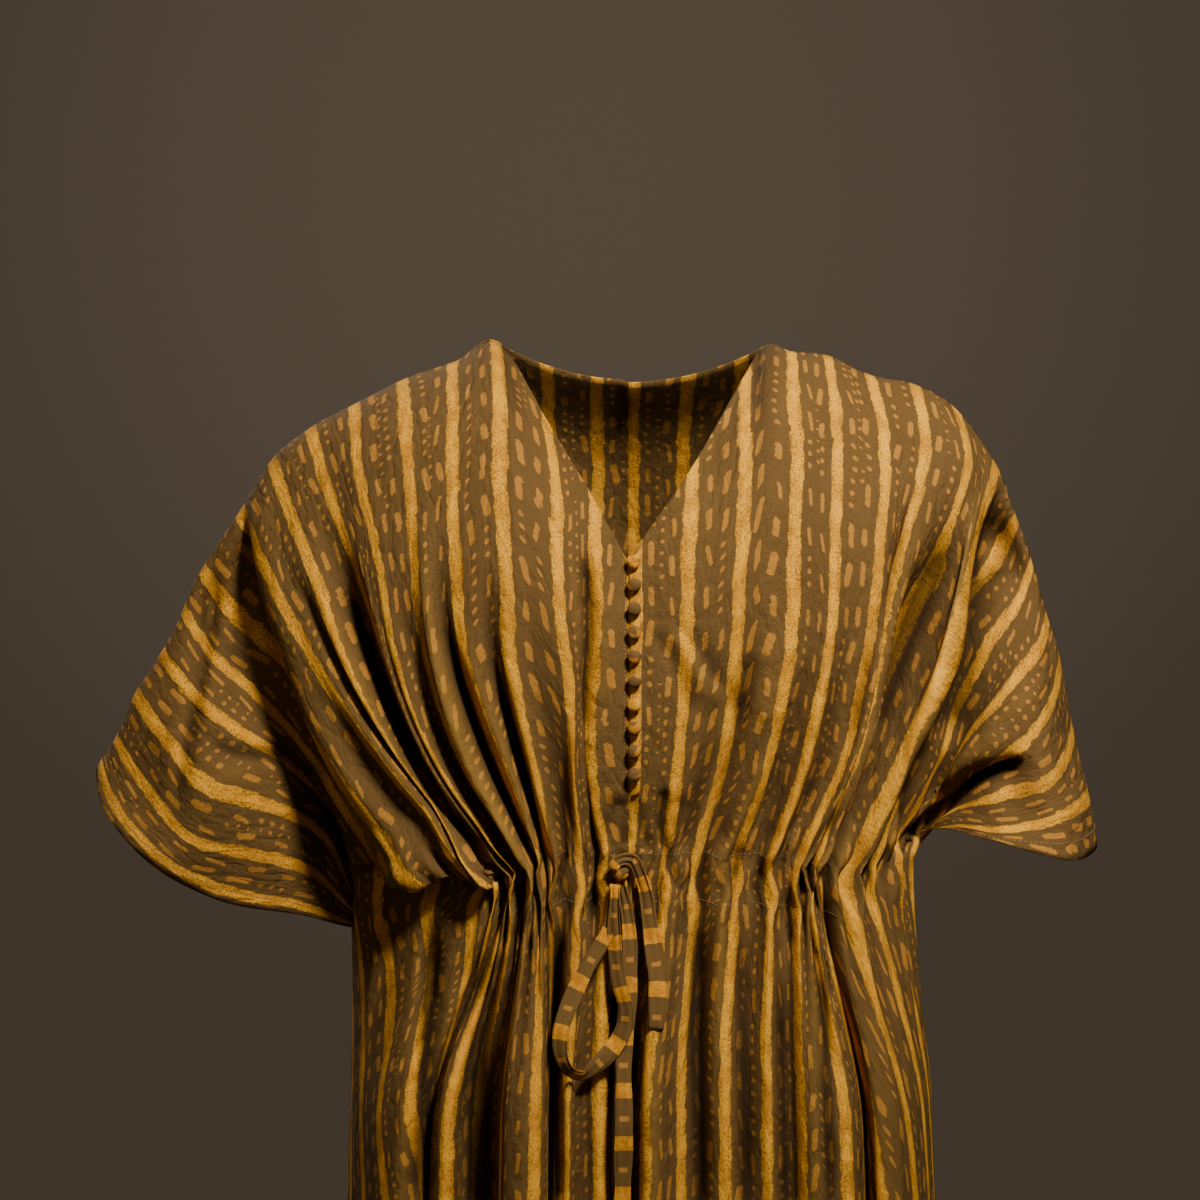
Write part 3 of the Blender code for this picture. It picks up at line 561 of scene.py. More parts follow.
def printed_cotton():
    """Olive brown cotton block-printed with mustard stripes, dashes and dots."""
    make = Maker("printed_cotton")
    across, down, flat = make.cloth_place()
    right = across.math("GREATER_THAN", 0.6)
    # Each block of the print sits a little to one side of the last.
    block = ((down + right * 41.0) / 131.0).floor()
    jog = (make.chance(block, right, 3.0) - 0.5) * 3.4
    bend = (make.noise(flat, 0.011, 1.0) - 0.5) * 7.0
    from_first = right * (across - 3.0) + (1.0 - right) * (across * -1.0 - 22.0) + jog + bend
    number = (from_first / PITCH + 0.5).floor()
    x = from_first.wrap(PITCH)
    grain = make.noise(flat, 0.75, 4.0, 0.7)
    wobble = (make.noise(flat, 0.10, 2.0) - 0.5) * 5.0 + (grain - 0.5) * 3.2
    width = 4.9 + (make.noise(make.join(number * 7.3, down * 0.02), 1.0, 1.0) - 0.5) * 2.4
    stripe = (x.abs() + wobble).below(width, 0.5)
    patch = make.noise(flat, 0.045, 2.0)
    specks = make.noise(flat, 0.60, 3.0, 0.75)
    mottle = (grain + patch * 0.75).below(0.86, 0.22)
    rub = make.noise(make.join(across * 0.11, down * 0.045), 1.0, 2.0)
    dark_specks = (specks - (x.abs() * 0.019) + (rub - 0.5) * 0.25).below(0.405, 0.09)
    gap = from_first - ((from_first / PITCH).floor() * PITCH)
    cell = (from_first / PITCH).floor()
    blur = (make.noise(flat, 0.40, 2.0) - 0.5) * 2.3
    marks = None
    for column, place_at in enumerate((11.8, 24.0)):
        shift = make.chance(cell, float(column), 7.0)
        along_it = down + shift * 27.0
        row = (along_it / 27.0).floor()
        luck = make.chance(row, cell * 3.1, 11.0 + column + right * 5.0)
        lean = make.chance(row, cell * 1.7, 23.0 + column)
        side = gap - (place_at + (shift - 0.5) * 2.4) + (lean - 0.5) * 2.6
        drop = along_it - (row * 27.0 + 13.5) + (luck - 0.4) * 5.0
        turned = side + drop * ((lean - 0.5) * 0.42)
        reach = 5.2 + (luck - 0.4) * 4.4
        over = (drop.abs() - reach).math("MAXIMUM", 0.0)
        dash = distance(turned, over) + blur
        spot = drop.wrap(8.6)
        dot = distance(side, spot) + blur
        far = drop.abs().below(12.0, 0.1)
        is_dot = luck.math("GREATER_THAN", 0.72)
        size = 1.95 + (lean - 0.5) * 1.3
        mark = dash.below(size, 0.4) * (1.0 - is_dot) + dot.below(1.8, 0.4) * is_dot * far
        marks = mark if marks is None else marks.math("MAXIMUM", mark)
    luck = make.chance((down / 8.0).floor(), cell, 41.0)
    extra = make.chance((down / 58.0).floor(), cell, 43.0).math("GREATER_THAN", 0.66)
    side = gap - 18.0 - (luck - 0.5) * 1.6
    drop = down.wrap(8.0)
    small = (distance(side, drop) + blur * 0.6).below(1.35, 0.4)
    marks = marks.math("MAXIMUM", small * extra * luck.math("GREATER_THAN", 0.40))
    marks = marks * (1.0 - stripe)
    tone = make.noise(flat, 0.02, 3.0)
    fine = ((make.noise(flat, 0.62, 4.0, 0.7) - 0.5) * 1.9 + 0.5).clipped()
    ground = make.mix(fine * 0.62 + tone * 0.38, tinted(GROUND, 0.50), tinted(GROUND, 1.46))
    mustard = make.mix(fine, tinted(STRIPE, 0.74), tinted(STRIPE, 1.18))
    mustard = make.mix(mottle * 0.72, mustard, STRIPE_DARK)
    mustard = make.mix(dark_specks * 0.78, mustard, WORN)
    ochre = make.mix(fine, tinted(DASH, 0.62), tinted(DASH, 1.25))
    colour = make.mix(stripe, ground, mustard)
    colour = make.mix(marks * 0.90, colour, ochre)
    # Painted shade darkens the valleys of the folds; a painted highlight lightens their crests.
    depth, _, _ = make.split(make.node("ShaderNodeUVMap", 0, (("uv_map", "fold"),)))
    painted_valley_shade = (depth * -0.15 - 0.06).clipped()
    painted_crest_highlight = (depth * 0.10 - 0.08).clipped()
    colour = make.mix(painted_valley_shade * 0.86, colour, (0.016, 0.007, 0.0015))
    colour = make.mix(painted_crest_highlight * 0.16, colour, (0.86, 0.46, 0.06))
    make.set(Base_Color=colour, Roughness=0.80 + fine * 0.12, Specular_IOR_Level=0.12)
    crease = make.noise(make.join(across * 0.035, down * 0.012), 1.0, 3.0, 0.55)
    crumple = make.noise(flat, 0.05, 4.0, 0.6)
    folds = (make.noise(make.join(across * 0.075, down * 0.03), 1.0, 2.0, 0.5) - 0.5).abs()
    height = weave_height(make, across, down) * 0.07 + fine * 0.10 + crease * 1.2 + crumple * 1.0
    make.bump(height - folds.below(0.05, 0.10) * 0.22, 0.75, 0.004)
    return make.material


def trim_cotton(name, blot=0.0, size=0.1, bands=False, lit=STRIPE):
    """Small pieces cut from the print: mottled mustard, blots of the ground, or crosswise bands."""
    make = Maker(name)
    across, down, flat = make.cloth_place()
    fine = make.noise(flat, 0.9, 4.0, 0.7)
    patch = make.noise(flat, 0.12, 2.0)
    colour = make.mix((fine + patch * 0.6).below(0.84, 0.22), lit, STRIPE_DARK)
    base = make.mix(fine, tinted(GROUND, 0.55), tinted(GROUND, 1.45))
    if blot:
        colour = make.mix(make.noise(flat, size, 1.0).below(blot, 0.08), colour, base)
    if bands:
        wobble = (make.noise(flat, 0.35, 2.0) - 0.5) * 2.4
        mark = (down.wrap(PITCH).abs() + wobble).below(5.2, 0.6)
        long_dash = (down + 17.0).wrap(PITCH).abs().math("MAXIMUM", across.abs() * 0.55)
        dash = (long_dash + wobble * 0.6).below(1.7, 0.5)
        base = make.mix(dash * 0.8, base, DASH)
        colour = make.mix(mark, base, colour)
    make.set(Base_Color=colour, Roughness=0.86, Specular_IOR_Level=0.12)
    height = weave_height(make, across, down, 0.5) * 0.10 + patch * 0.8
    make.bump(height, 0.5, 0.0018)
    return make.material


def plain(name, colour, roughness=0.8):
    make = Maker(name)
    spot = make.node("ShaderNodeTexCoord", 3)
    grain = make.noise(spot, 900.0, 2.0)
    tone = make.mix(grain, tinted(colour, 0.8), tinted(colour, 1.15))
    make.set(Base_Color=tone, Roughness=roughness)
    make.bump(grain, 0.3, 0.0004)
    return make.material


def add(name, mesh, slot, smooth_it=True):
    made = bpy.data.objects.new(name, mesh)
    mesh.materials.append(slot)
    bpy.context.scene.collection.objects.link(made)
    if smooth_it:
        mesh.shade_smooth()
    return made


def thicken(made, thick):
    cloth = made.modifiers.new("cloth", "SOLIDIFY")
    cloth.thickness = thick
    cloth.offset = 0


def mesh_of(bm, name):
    mesh = bpy.data.meshes.new(name)
    bm.to_mesh(mesh)
    bm.free()
    return mesh


def grid_mesh(name, parts, cut=None):
    """One mesh from grids of (points, cloth places), welded along their shared row."""
    bm = bmesh.new()
    held = []
    for points, _ in parts:
        columns, rows = points.shape[:2]
        made = bmesh.ops.create_grid(bm, x_segments=columns - 1, y_segments=rows - 1, size=1)["verts"]
        at = np.array([v.co for v in made])
        order = np.lexsort((-np.round(at[:, 1], 5), np.round(at[:, 0], 5)))
        made = [made[k] for k in order]
        for vert, co in zip(made, points.reshape(-1, 3)):
            vert.co = co
        held.append(made)
    layer = bm.loops.layers.uv.new("cloth")
    where = {}
    for (points, cloth), made in zip(parts, held):
        for vert, spot in zip(made, cloth.reshape(-1, cloth.shape[2])):
            where[vert] = spot
    # The fold depth goes to a second map, for the print's painted shade and highlight.
    fold = bm.loops.layers.uv.new("fold") if parts[0][1].shape[2] == 3 else None
    for face in bm.faces:
        for loop in face.loops:
            loop[layer].uv = where[loop.vert][:2]
            if fold:
                loop[fold].uv = (where[loop.vert][2], 0)
    if len(parts) == 2:
        rows = parts[0][0].shape[1]
        deep = parts[1][0].shape[1]
        first = cut["first"]
        joins = {}
        for i in range(parts[1][0].shape[0]):
            joins[held[1][i * deep]] = held[0][(first + i) * rows + rows - 1]
        bmesh.ops.weld_verts(bm, targetmap=joins)
    if cut and "slit" in cut:
        column, count = cut["slit"]
        rows = parts[0][0].shape[1]
        chain = [held[0][column * rows + j] for j in range(count + 1)]
        edges = [e for a, b in zip(chain, chain[1:]) for e in a.link_edges if e.other_vert(a) == b]
        bmesh.ops.split_edges(bm, edges=edges)
        slit_low = chain[-1].co.z + 0.5 * MM
        for vert in bm.verts:
            if len(vert.link_edges) <= 3 and abs(vert.co.x) < 2 * MM and vert.co.z > slit_low:
                vert.tag = True
        for vert in bm.verts:
            if vert.tag:
                middle = sum(f.calc_center_median().x for f in vert.link_faces) / len(vert.link_faces)
                vert.co.x += 0.8 * MM if middle > vert.co.x else -0.8 * MM
    bmesh.ops.recalc_face_normals(bm, faces=bm.faces)
    return mesh_of(bm, name)


# Creases pressed into the front: half width and height in millimetres (a trough is below nought), then places
# along it on a chart as wide as the picture, 1200 steps.
CREASES = (
    (5, -5, ((573, 548), (586, 580), (591, 620), (589, 660), (584, 700), (583, 740))),
    (5, -3.5, ((650, 626), (670, 652), (682, 688), (694, 716))),
    (6, -4, ((664, 612), (696, 645), (720, 684), (744, 712))),
    (5, 3, ((656, 616), (682, 645), (703, 684), (730, 700))),
    (6, -4, ((747, 650), (743, 690), (733, 730))),
    (6, -5, ((764, 716), (738, 786), (716, 850))),
    (6, -5, ((808, 716), (780, 790), (762, 850))),
    (5, -4, ((716, 740), (694, 800), (680, 848))),
    (4, -4, ((618, 788), (606, 822), (598, 850))),
    (4, -4, ((624, 790), (623, 845))),
    (4, -4, ((630, 786), (642, 830), (648, 850))),
    (4, 4, ((588, 790), (598, 828), (612, 862))),
    (4, 5, ((674, 770), (668, 812), (666, 850))),
    (4, -6, ((663, 780), (658, 815), (660, 850))),
    (4, -5, ((681, 790), (676, 825), (674, 852))),
    (5, 5, ((440, 606), (444, 640), (452, 667), (463, 705), (477, 745), (499, 800), (523, 852))),
    (5, -8, ((453, 630), (464, 675), (480, 715), (494, 750), (514, 800), (535, 852))),
    (7, -8, ((340, 560), (368, 640), (398, 720), (430, 790), (500, 866))),
    (4, -7, ((503, 670), (518, 750), (540, 825), (554, 868))),
    (6, -7, ((224, 540), (213, 600), (203, 660), (197, 700), (187, 760), (174, 815))),
    (6, 5, ((232, 560), (222, 620), (214, 680), (206, 730))),
    (6, -6, ((198, 736), (235, 750), (290, 757), (338, 778))),
    (15, -17, ((1004, 500), (976, 570), (958, 640), (950, 700), (944, 752))),
    (8, 5, ((986, 480), (950, 580), (934, 680), (924, 760))),
    (8, -6, ((946, 528), (916, 600), (886, 680), (868, 740))),
    (9, -10, ((934, 806), (962, 780), (1002, 762), (1020, 760))),
    (5, -5, ((1040, 640), (1056, 690), (1066, 742))),
    (6, -6, ((905, 500), (868, 640), (838, 760))),
    (3, -7, ((668, 826), (667, 850), (662, 872), (655, 900), (652, 936))),
    (3, -6, ((668, 868), (678, 882), (690, 868))),
    (4, -5, ((742, 838), (730, 872), (712, 894))),
    (4, -7, ((758, 852), (764, 876), (769, 912))),
    (3, 5, ((792, 822), (785, 868), (773, 908))),
    (3, -8, ((780, 880), (783, 905), (789, 944))),
    (4, -8, ((838, 798), (816, 838), (797, 880), (799, 926))),
    (3, 6, ((797, 880), (806, 908), (813, 946))),
    (3, -8, ((806, 872), (817, 906), (828, 950))),
    (5, 5, ((822, 868), (842, 900), (856, 936))),
    (3, -8, ((520, 868), (523, 895), (529, 944))),
    (3, 5, ((530, 862), (532, 900), (537, 948))),
    (3, -8, ((537, 866), (540, 900), (543, 950))),
    (3, -8, ((506, 872), (508, 900), (503, 946))),
    (3, -6, ((590, 846), (594, 880), (590, 920))),
    (7, -19, ((438, 895), (431, 1000), (425, 1100), (414, 1230))),
    (13, -16, ((480, 930), (478, 1050), (482, 1230))),
    (5, -19, ((557, 900), (556, 1050), (559, 1230))),
    (5, -14, ((613, 930), (613, 1060), (614, 1230))),
    (5, -13, ((634, 990), (634, 1080), (635, 1230))),
    (7, -13, ((697, 900), (697, 1050), (701, 1230))),
    (6, -10, ((738, 900), (739, 1050), (743, 1230))),
    (6, -10, ((779, 960), (779, 1080), (783, 1230))),
    (5, -11, ((819, 930), (822, 1080), (828, 1230))),
)


def creased(grid):
    """The front with its small creases, each fading out along its line."""
    forward = -grid[..., 1] / MM
    across = grid[..., 0] / MM / CHART_STEP + CHART_MIDDLE
    down = (forward * math.tan(LOOK_DOWN) - grid[..., 2] / MM) * math.cos(LOOK_DOWN)
    down = down / CHART_STEP + CHART_TOP
    here = np.stack([across, down], axis=-1)
    lift = np.zeros(across.shape)
    for half, height, line in CREASES:
        line = np.array(line, float)
        run = lengths(line)
        best = np.full(across.shape, 1e9)
        share = np.zeros(across.shape)
        for a, b, start, end in zip(line, line[1:], run, run[1:]):
            t = np.clip(((here - a) @ (b - a)) / ((b - a) @ (b - a)), 0, 1)
            far = np.linalg.norm(here - a - t[..., None] * (b - a), axis=-1)
            share = np.where(far < best, (start + t * (end - start)) / run[-1], share)
            best = np.minimum(best, far)
        fade = smooth(share / 0.22) * smooth((1 - share) / 0.16)
        lift += height * fade * np.exp(-((best * CHART_STEP / half) ** 2))
    return grid + place(0 * lift, 0 * lift, lift), lift


def puckers(us, grid):
    """Small uneven folds the drawstring throws just above, in and below its casing."""
    down = -grid[..., 2] / MM
    u = us[:, None]
    near = np.exp(-(((down - WAIST_DOWN + 6 * np.sin(u / 31)) / 21) ** 2))
    fade = smooth((400 - np.abs(u)) / 40) * near
    lean = (down - WAIST_DOWN) * 0.035
    wave = 0.6 * np.cos(u / 2.3 + 1.3 * np.sin(u / 17) + lean)
    wave += 0.5 * np.cos(u / 3.7 + 2 * np.sin(u / 29) - lean)
    slip = 2.2 * np.sin(u / 8.5 + down / 9) + 1.1 * np.sin(u / 4.1 - down / 6)
    return grid + place(slip * fade, 0 * slip, 3.6 * wave * fade)


def cloth_places(us, ts, ss, long, low, back):
    """The place in the flat cut, in metres, of each point of a panel."""
    flat = np.abs(us)
    rise = np.clip(1 - flat / NECK_HALF, 0, 1)
    start = rise * (0.024 if back else 0.150)
    v = start[:, None] + long[:, None] * ts[None, :]
    top = np.stack([np.repeat(us[:, None] * MM, len(ts), 1), v], axis=2)
    body = np.abs(us) <= HALF_BODY
    fall = np.linalg.norm(np.diff(low, axis=1), axis=2)
    fall = np.concatenate([np.zeros((len(fall), 1)), np.cumsum(fall, axis=1)], axis=1)
    deep = (HEM_DOWN * MM - 0.35) / fall[:, -1:]
    v = v[body][:, -1:] + fall * deep
    across = np.repeat(us[body][:, None], low.shape[1], 1)
    if not back:
        # Under the arms the cloth hangs off its grain, so the stripes run to the middle.
        drop = np.maximum(-low[:, :, 2] / MM - 369, -40)
        drop = np.where(drop > 0, 340 * (1 - np.exp(-drop / 340)), drop)
        left = smooth((-across - 266) / 16) * (11 - 0.47 * drop)
        right = smooth((across - 256) / 16) * 0.22 * drop
        across = across + (left - right) * smooth(ss / 0.04)[None, :]
    skirt_uv = np.stack([across * MM, v], axis=2)
    return top, skirt_uv


def fold_depth(grid, pressed):
    """How far each point stands out from its neighbours across the folds, in millimetres."""
    out = np.abs(grid[..., 1]) / MM
    weight = np.hanning(19)[1:-1]
    weight /= weight.sum()
    wide = np.pad(out, ((8, 8), (0, 0)), mode="reflect", reflect_type="odd")
    mean = sum(w * wide[k : k + len(out)] for k, w in enumerate(weight))
    # Pressed crease troughs count a quarter deeper; the result drives the print's painted shade and highlight.
    return (out - mean + 0.25 * np.minimum(pressed, 0))[..., None]


def make_panel(name, us, ts, ss, back, slot):
    """A panel of printed cloth: its surface, its places in the cut and its thickness."""
    top, low, body = panel_points(us, ts, ss, back)
    _, long = upper(us, ts, back)
    pressed = [0, 0]
    if not back:
        top, pressed[0] = creased(puckers(us, top))
        low, pressed[1] = creased(puckers(us[body], low))
    # The panels meet edge to edge at the shoulders and sides.
    for grid in (top, low):
        grid[..., 1] = np.where(np.abs(grid[..., 1]) < 0.2 * MM, 0, grid[..., 1])
    low[[0, -1], :, 1] = 0
    top_uv, low_uv = cloth_places(us, ts, ss, long, low, back)
    cut = {"first": int(np.flatnonzero(body)[0])}
    if not back:
        cut["slit"] = (int(np.argmin(np.abs(us))), int(np.searchsorted(ts, SLIT_END)))
    # The fold depth drives the print's painted shade and highlight, half as strong on the back.
    share = 0.5 if back else 1.0
    top_uv = np.concatenate([top_uv, share * fold_depth(top, pressed[0])], axis=2)
    low_uv = np.concatenate([low_uv, share * fold_depth(low, pressed[1])], axis=2)
    mesh = grid_mesh(name, [(top, top_uv), (low, low_uv)], cut)
    made = add(name, mesh, slot)
    thicken(made, CLOTH)
    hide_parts("back_panel" if back else "front_panel")
    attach(made, "root")
    return made, top, low


def spread_columns(marks):
    runs = [np.linspace(a, b, n, endpoint=False) for a, b, n in marks]
    return np.concatenate(runs + [[marks[-1][1]]])


def tape_route(rows, layer, grids):
    """Even steps down a list of (across, down) places, in front of the cloth there."""
    rows = np.array(rows, float)
    run = lengths(rows)
    at = np.linspace(0, run[-1], max(16, int(run[-1] / 2.5)))
    seen = through(run, rows, at)
    path = place(seen[:, 0], seen[:, 1], np.full(len(at), 122.0))
    layers = np.interp(at / run[-1], [0, 0.4, 0.6, 1], layer)
    rest = np.array([most_forward(grids, p[0], p[2], 13 * MM) for p in path])
    rest = np.convolve(np.pad(rest, 9, mode="edge"), np.ones(19) / 19, mode="valid")
    path[:, 1] = rest - (2.6 + layers) * MM
    return path


def most_forward(grids, x, z, reach=9 * MM, tall=14 * MM):
    """How far forward the cloth stands near a place, as the least Y there."""
    near = []
    for grid in grids:
        flat = grid.reshape(-1, 3)
        pick = (np.abs(flat[:, 0] - x) < reach) & (np.abs(flat[:, 2] - z) < tall)
        near.extend(flat[pick, 1])
    return min(near)


def seat(points, tree, gap=0.45 * MM):
    """How far along Y a piece must move until it lies just off the cloth behind it."""
    room = []
    for spot in points.reshape(-1, 3):
        hit, _, _, far = tree.ray_cast(Vector(spot), Vector((0, 1, 0)), 0.05)
        if hit:
            room.append(far)
    return min(room) - gap


def ribbon(name, path, slot, lean=None, wide=TAPE_WIDE, thick=TAPE_THICK, tree=None, loop=False):
    """A folded tape: a flat tube of cloth along a path, a little puffed, with soft edges."""
    run = lengths(path)
    ahead = np.gradient(path, axis=0)
    ahead /= np.linalg.norm(ahead, axis=1)[:, None]
    side = np.cross(ahead, (0, -1, 0))
    side /= np.linalg.norm(side, axis=1)[:, None]
    out = np.cross(side, ahead)
    share = run / run[-1]
    turn = np.interp(share, *lean) if lean else np.zeros(len(run))
    turn = np.radians(turn)[:, None]
    side, out = side * np.cos(turn) + out * np.sin(turn), out * np.cos(turn) - side * np.sin(turn)
    around = 28
    ring = []
    pinch = np.exp(-((run / 0.038) ** 2))
    if loop:
        pinch = pinch + np.exp(-(((run[-1] - run) / 0.038) ** 2))
    width = (1 - 0.42 * pinch) * (1 + 0.06 * np.sin(run * 75 + 0.7) + 0.04 * np.sin(run * 173))
    fold = (0.30 + 0.75 * pinch) * MM
    for k in range(around):
        a = 2 * math.pi * k / around
        c, s = math.cos(a), math.sin(a)
        flat_x = math.copysign(abs(c) ** 0.75, c) * wide / 2
        flat_y = math.copysign(abs(s) ** 0.7, s) * thick / 2
        wave = fold * (np.sin(c * 7.5 + run * 26) + 0.5 * np.sin(c * 12 - run * 61 + 1))
        ring.append(path + side * flat_x * width[:, None] + out * (flat_y + wave[:, None]))
    ring.append(ring[0])
    points = np.array(ring)
    shift = seat(points, tree) if tree else 0.0
    points[:, :, 1] += shift
    steps = lengths(points[:, 0])
    cloth = np.stack(np.broadcast_arrays((steps - steps[-1] / 4)[:, None], run[None, :]), axis=2)
    mesh = grid_mesh(name, [(points, cloth)])
    bm = bmesh.new()
    bm.from_mesh(mesh)
    bmesh.ops.remove_doubles(bm, verts=bm.verts, dist=1e-6)
    bmesh.ops.holes_fill(bm, edges=[e for e in bm.edges if e.is_boundary], sides=0)
    bmesh.ops.recalc_face_normals(bm, faces=bm.faces)
    bm.to_mesh(mesh)
    bm.free()
    return add(name, mesh, slot), path + (0, shift, 0), run[-1]


def knot(name, centre, slot):
    """The drawstring's knot: tapes wound over each other into a small hard bundle."""
    meshes = []
    turns = ((0.5, 4.9, 4.6, 0.0), (-0.75, 5.3, 4.4, 0.5), (1.5, 4.7, 4.2, -0.4))
    for n, (lean, wide, tall, lift) in enumerate(turns):
        a = np.linspace(0, 2 * math.pi, 40)
        along_it, across_it = np.cos(a) * wide, np.sin(a) * tall * 0.8
        x = along_it * math.cos(lean)
        z = along_it * math.sin(lean)
        path = np.stack([x, across_it, z], axis=1) * MM
        path[:, 0] += lift * MM * math.sin(lean)
        ahead = np.gradient(path, axis=0)
        ahead[0] = ahead[-1] = path[1] - path[-2]
        ahead /= np.linalg.norm(ahead, axis=1)[:, None]
        out = path / np.linalg.norm(path, axis=1)[:, None]
        side = np.cross(ahead, out)
        rings = []
        for k in range(13):
            b = 2 * math.pi * k / 12
            puff = 1 + 0.10 * np.sin(a * 5 + k * 1.1 + n)
            away = out * (math.sin(b) * 1.5 * MM * puff)[:, None]
            rings.append(path + side * math.cos(b) * 3.3 * MM + away)
        points = np.array(rings) + centre
        run = lengths(path)
        over = np.linspace(-4, 4, 13)[:, None] * MM
        cloth = np.stack(np.broadcast_arrays(over, run[None, :] + 0.011 * n), 2)
        meshes.append((points, cloth))
    bm = bmesh.new()
    for part in meshes:
        bm.from_mesh(grid_mesh(name + "_turn", [part]))
    bmesh.ops.remove_doubles(bm, verts=bm.verts, dist=1e-7)
    return add(name, mesh_of(bm, name), slot)


def sample(grid, us, ts, u, t):
    """A point of a panel between its grid points."""
    i = np.clip(np.searchsorted(us, u) - 1, 0, len(us) - 2)
    j = np.clip(np.searchsorted(ts, t) - 1, 0, len(ts) - 2)
    a = ((u - us[i]) / (us[i + 1] - us[i]))[:, None]
    b = ((t - ts[j]) / (ts[j + 1] - ts[j]))[:, None]
    return (
        grid[i, j] * (1 - a) * (1 - b)
        + grid[i + 1, j] * a * (1 - b)
        + grid[i, j + 1] * (1 - a) * b
        + grid[i + 1, j + 1] * a * b
    )


def on_panel(panel, u, t, lift=SEWING_OFF):
    """Points just off a panel, and which way it faces there."""
    grid, normal, columns, depths = panel
    here = sample(grid, columns, depths, u, t)
    face = sample(normal, columns, depths, u, t)
    return here + face * lift, face


def stitches(name, rows, slot, length=2.6 * MM, gap=1.2 * MM, thick=0.32 * MM):
    """Rows of sewing: one small rounded thread bar after another along each path."""
    bm = bmesh.new()
    for path, out in rows:
        run = lengths(path)
        count = int(run[-1] / (length + gap))
        for k in range(count):
            ends = [(k + 0.1) * (length + gap), (k + 0.1) * (length + gap) + length]
            a, b = (np.array([np.interp(e, run, path[:, c]) for c in range(3)]) for e in ends)
            face = np.array([np.interp(ends[0], run, out[:, c]) for c in range(3)])
            ahead = (b - a) / max(np.linalg.norm(b - a), 1e-9)
            side = np.cross(face, ahead)
            ring = []
            for share, size in ((0, 0.35), (0.2, 1), (0.8, 1), (1, 0.35)):
                centre = a + (b - a) * share + face * thick * 0.55
                ring.append(
                    [
                        bm.verts.new(centre + (side * math.cos(q) + face * math.sin(q)) * thick * size)
                        for q in (math.pi * 2 * n / 5 for n in range(5))
                    ]
                )
            for low, high in zip(ring, ring[1:]):
                for n in range(5):
                    bm.faces.new((low[n], low[(n + 1) % 5], high[(n + 1) % 5], high[n]))
            bm.faces.new(ring[0][::-1])
            bm.faces.new(ring[-1])
    return add(name, mesh_of(bm, name), slot)


def covered_button(name, centre, size, slot, turn, lean):
    """A ball button covered in cloth: gathered pleats behind, a slightly lumpy round, a flattened face."""
    bm = bmesh.new()
    bmesh.ops.create_uvsphere(bm, u_segments=36, v_segments=24, radius=1)
    layer = bm.loops.layers.uv.new("cloth")
    for vert in bm.verts:
        x, y, z = vert.co
        around = math.atan2(z, x)
        behind = max(0.0, y)
        lump = 1 + 0.035 * math.sin(3 * around + turn) + 0.05 * behind * math.sin(11 * around)
        front = 1 - 0.10 * max(0.0, -y) ** 3
        vert.co = (x * lump * size[0], y * front * size[1], z * lump * size[2])
    for face in bm.faces:
        for loop in face.loops:
            co = loop.vert.co
            loop[layer].uv = (co.x * 1.2 + turn * 0.013, co.z * 1.2 + turn * 0.021)
    mesh = mesh_of(bm, name)
    for vert in mesh.vertices:
        y, z = vert.co.y, vert.co.z
        vert.co = (
            vert.co.x + centre[0],
            y * math.cos(lean) - z * math.sin(lean) + centre[1],
            y * math.sin(lean) + z * math.cos(lean) + centre[2],
        )
    return add(name, mesh, slot)


def aimed(name, data, place_at, aim):
    made = bpy.data.objects.new(name, data)
    bpy.context.scene.collection.objects.link(made)
    made.location = place_at
    made.rotation_euler = (Vector(aim) - Vector(place_at)).to_track_quat("-Z", "Y").to_euler()


def area_light(name, place_at, aim, size, power, colour):
    data = bpy.data.lights.new(name, "AREA")
    data.shape = "RECTANGLE"
    data.size, data.size_y = size
    data.energy = power
    data.color = colour
    aimed(name, data, place_at, aim)


def stage_plane(name, size, place_at, turn, slot):
    bm = bmesh.new()
    bmesh.ops.create_grid(bm, x_segments=2, y_segments=2, size=size)
    made = add(name, mesh_of(bm, name), slot, False)
    made.location = place_at
    made.rotation_euler = (turn, 0, 0)
    return made


def backdrop_look():
    """A brown-grey paper backdrop, glowing with painted light: lighter in the middle, darker at its corners."""
    make = Maker("backdrop_painted_light")
    spot = make.node("ShaderNodeTexCoord", 3)
    x, y, _ = make.split(spot)
    x = x + 0.08
    y = y + 1.03
    far = ((x * x) + (y * y) * 0.9).math("SQRT")
    share = (far * 0.51).math("MINIMUM", 1.0)
    share = share * share
    grain = make.noise(spot, 25.0, 3.0)
    tone = make.mix(share, (0.093, 0.070, 0.049), (0.056, 0.0425, 0.0295))
    tone = make.mix(grain * 0.05, tone, (0.13, 0.10, 0.075))
    # The colour is emitted as painted light, not lit by the lamps.
    make.set(Base_Color=(0, 0, 0), Roughness=1.0, Emission_Color=tone)
    make.set(Specular_IOR_Level=0.0, Emission_Strength=1.0)
    return make.material


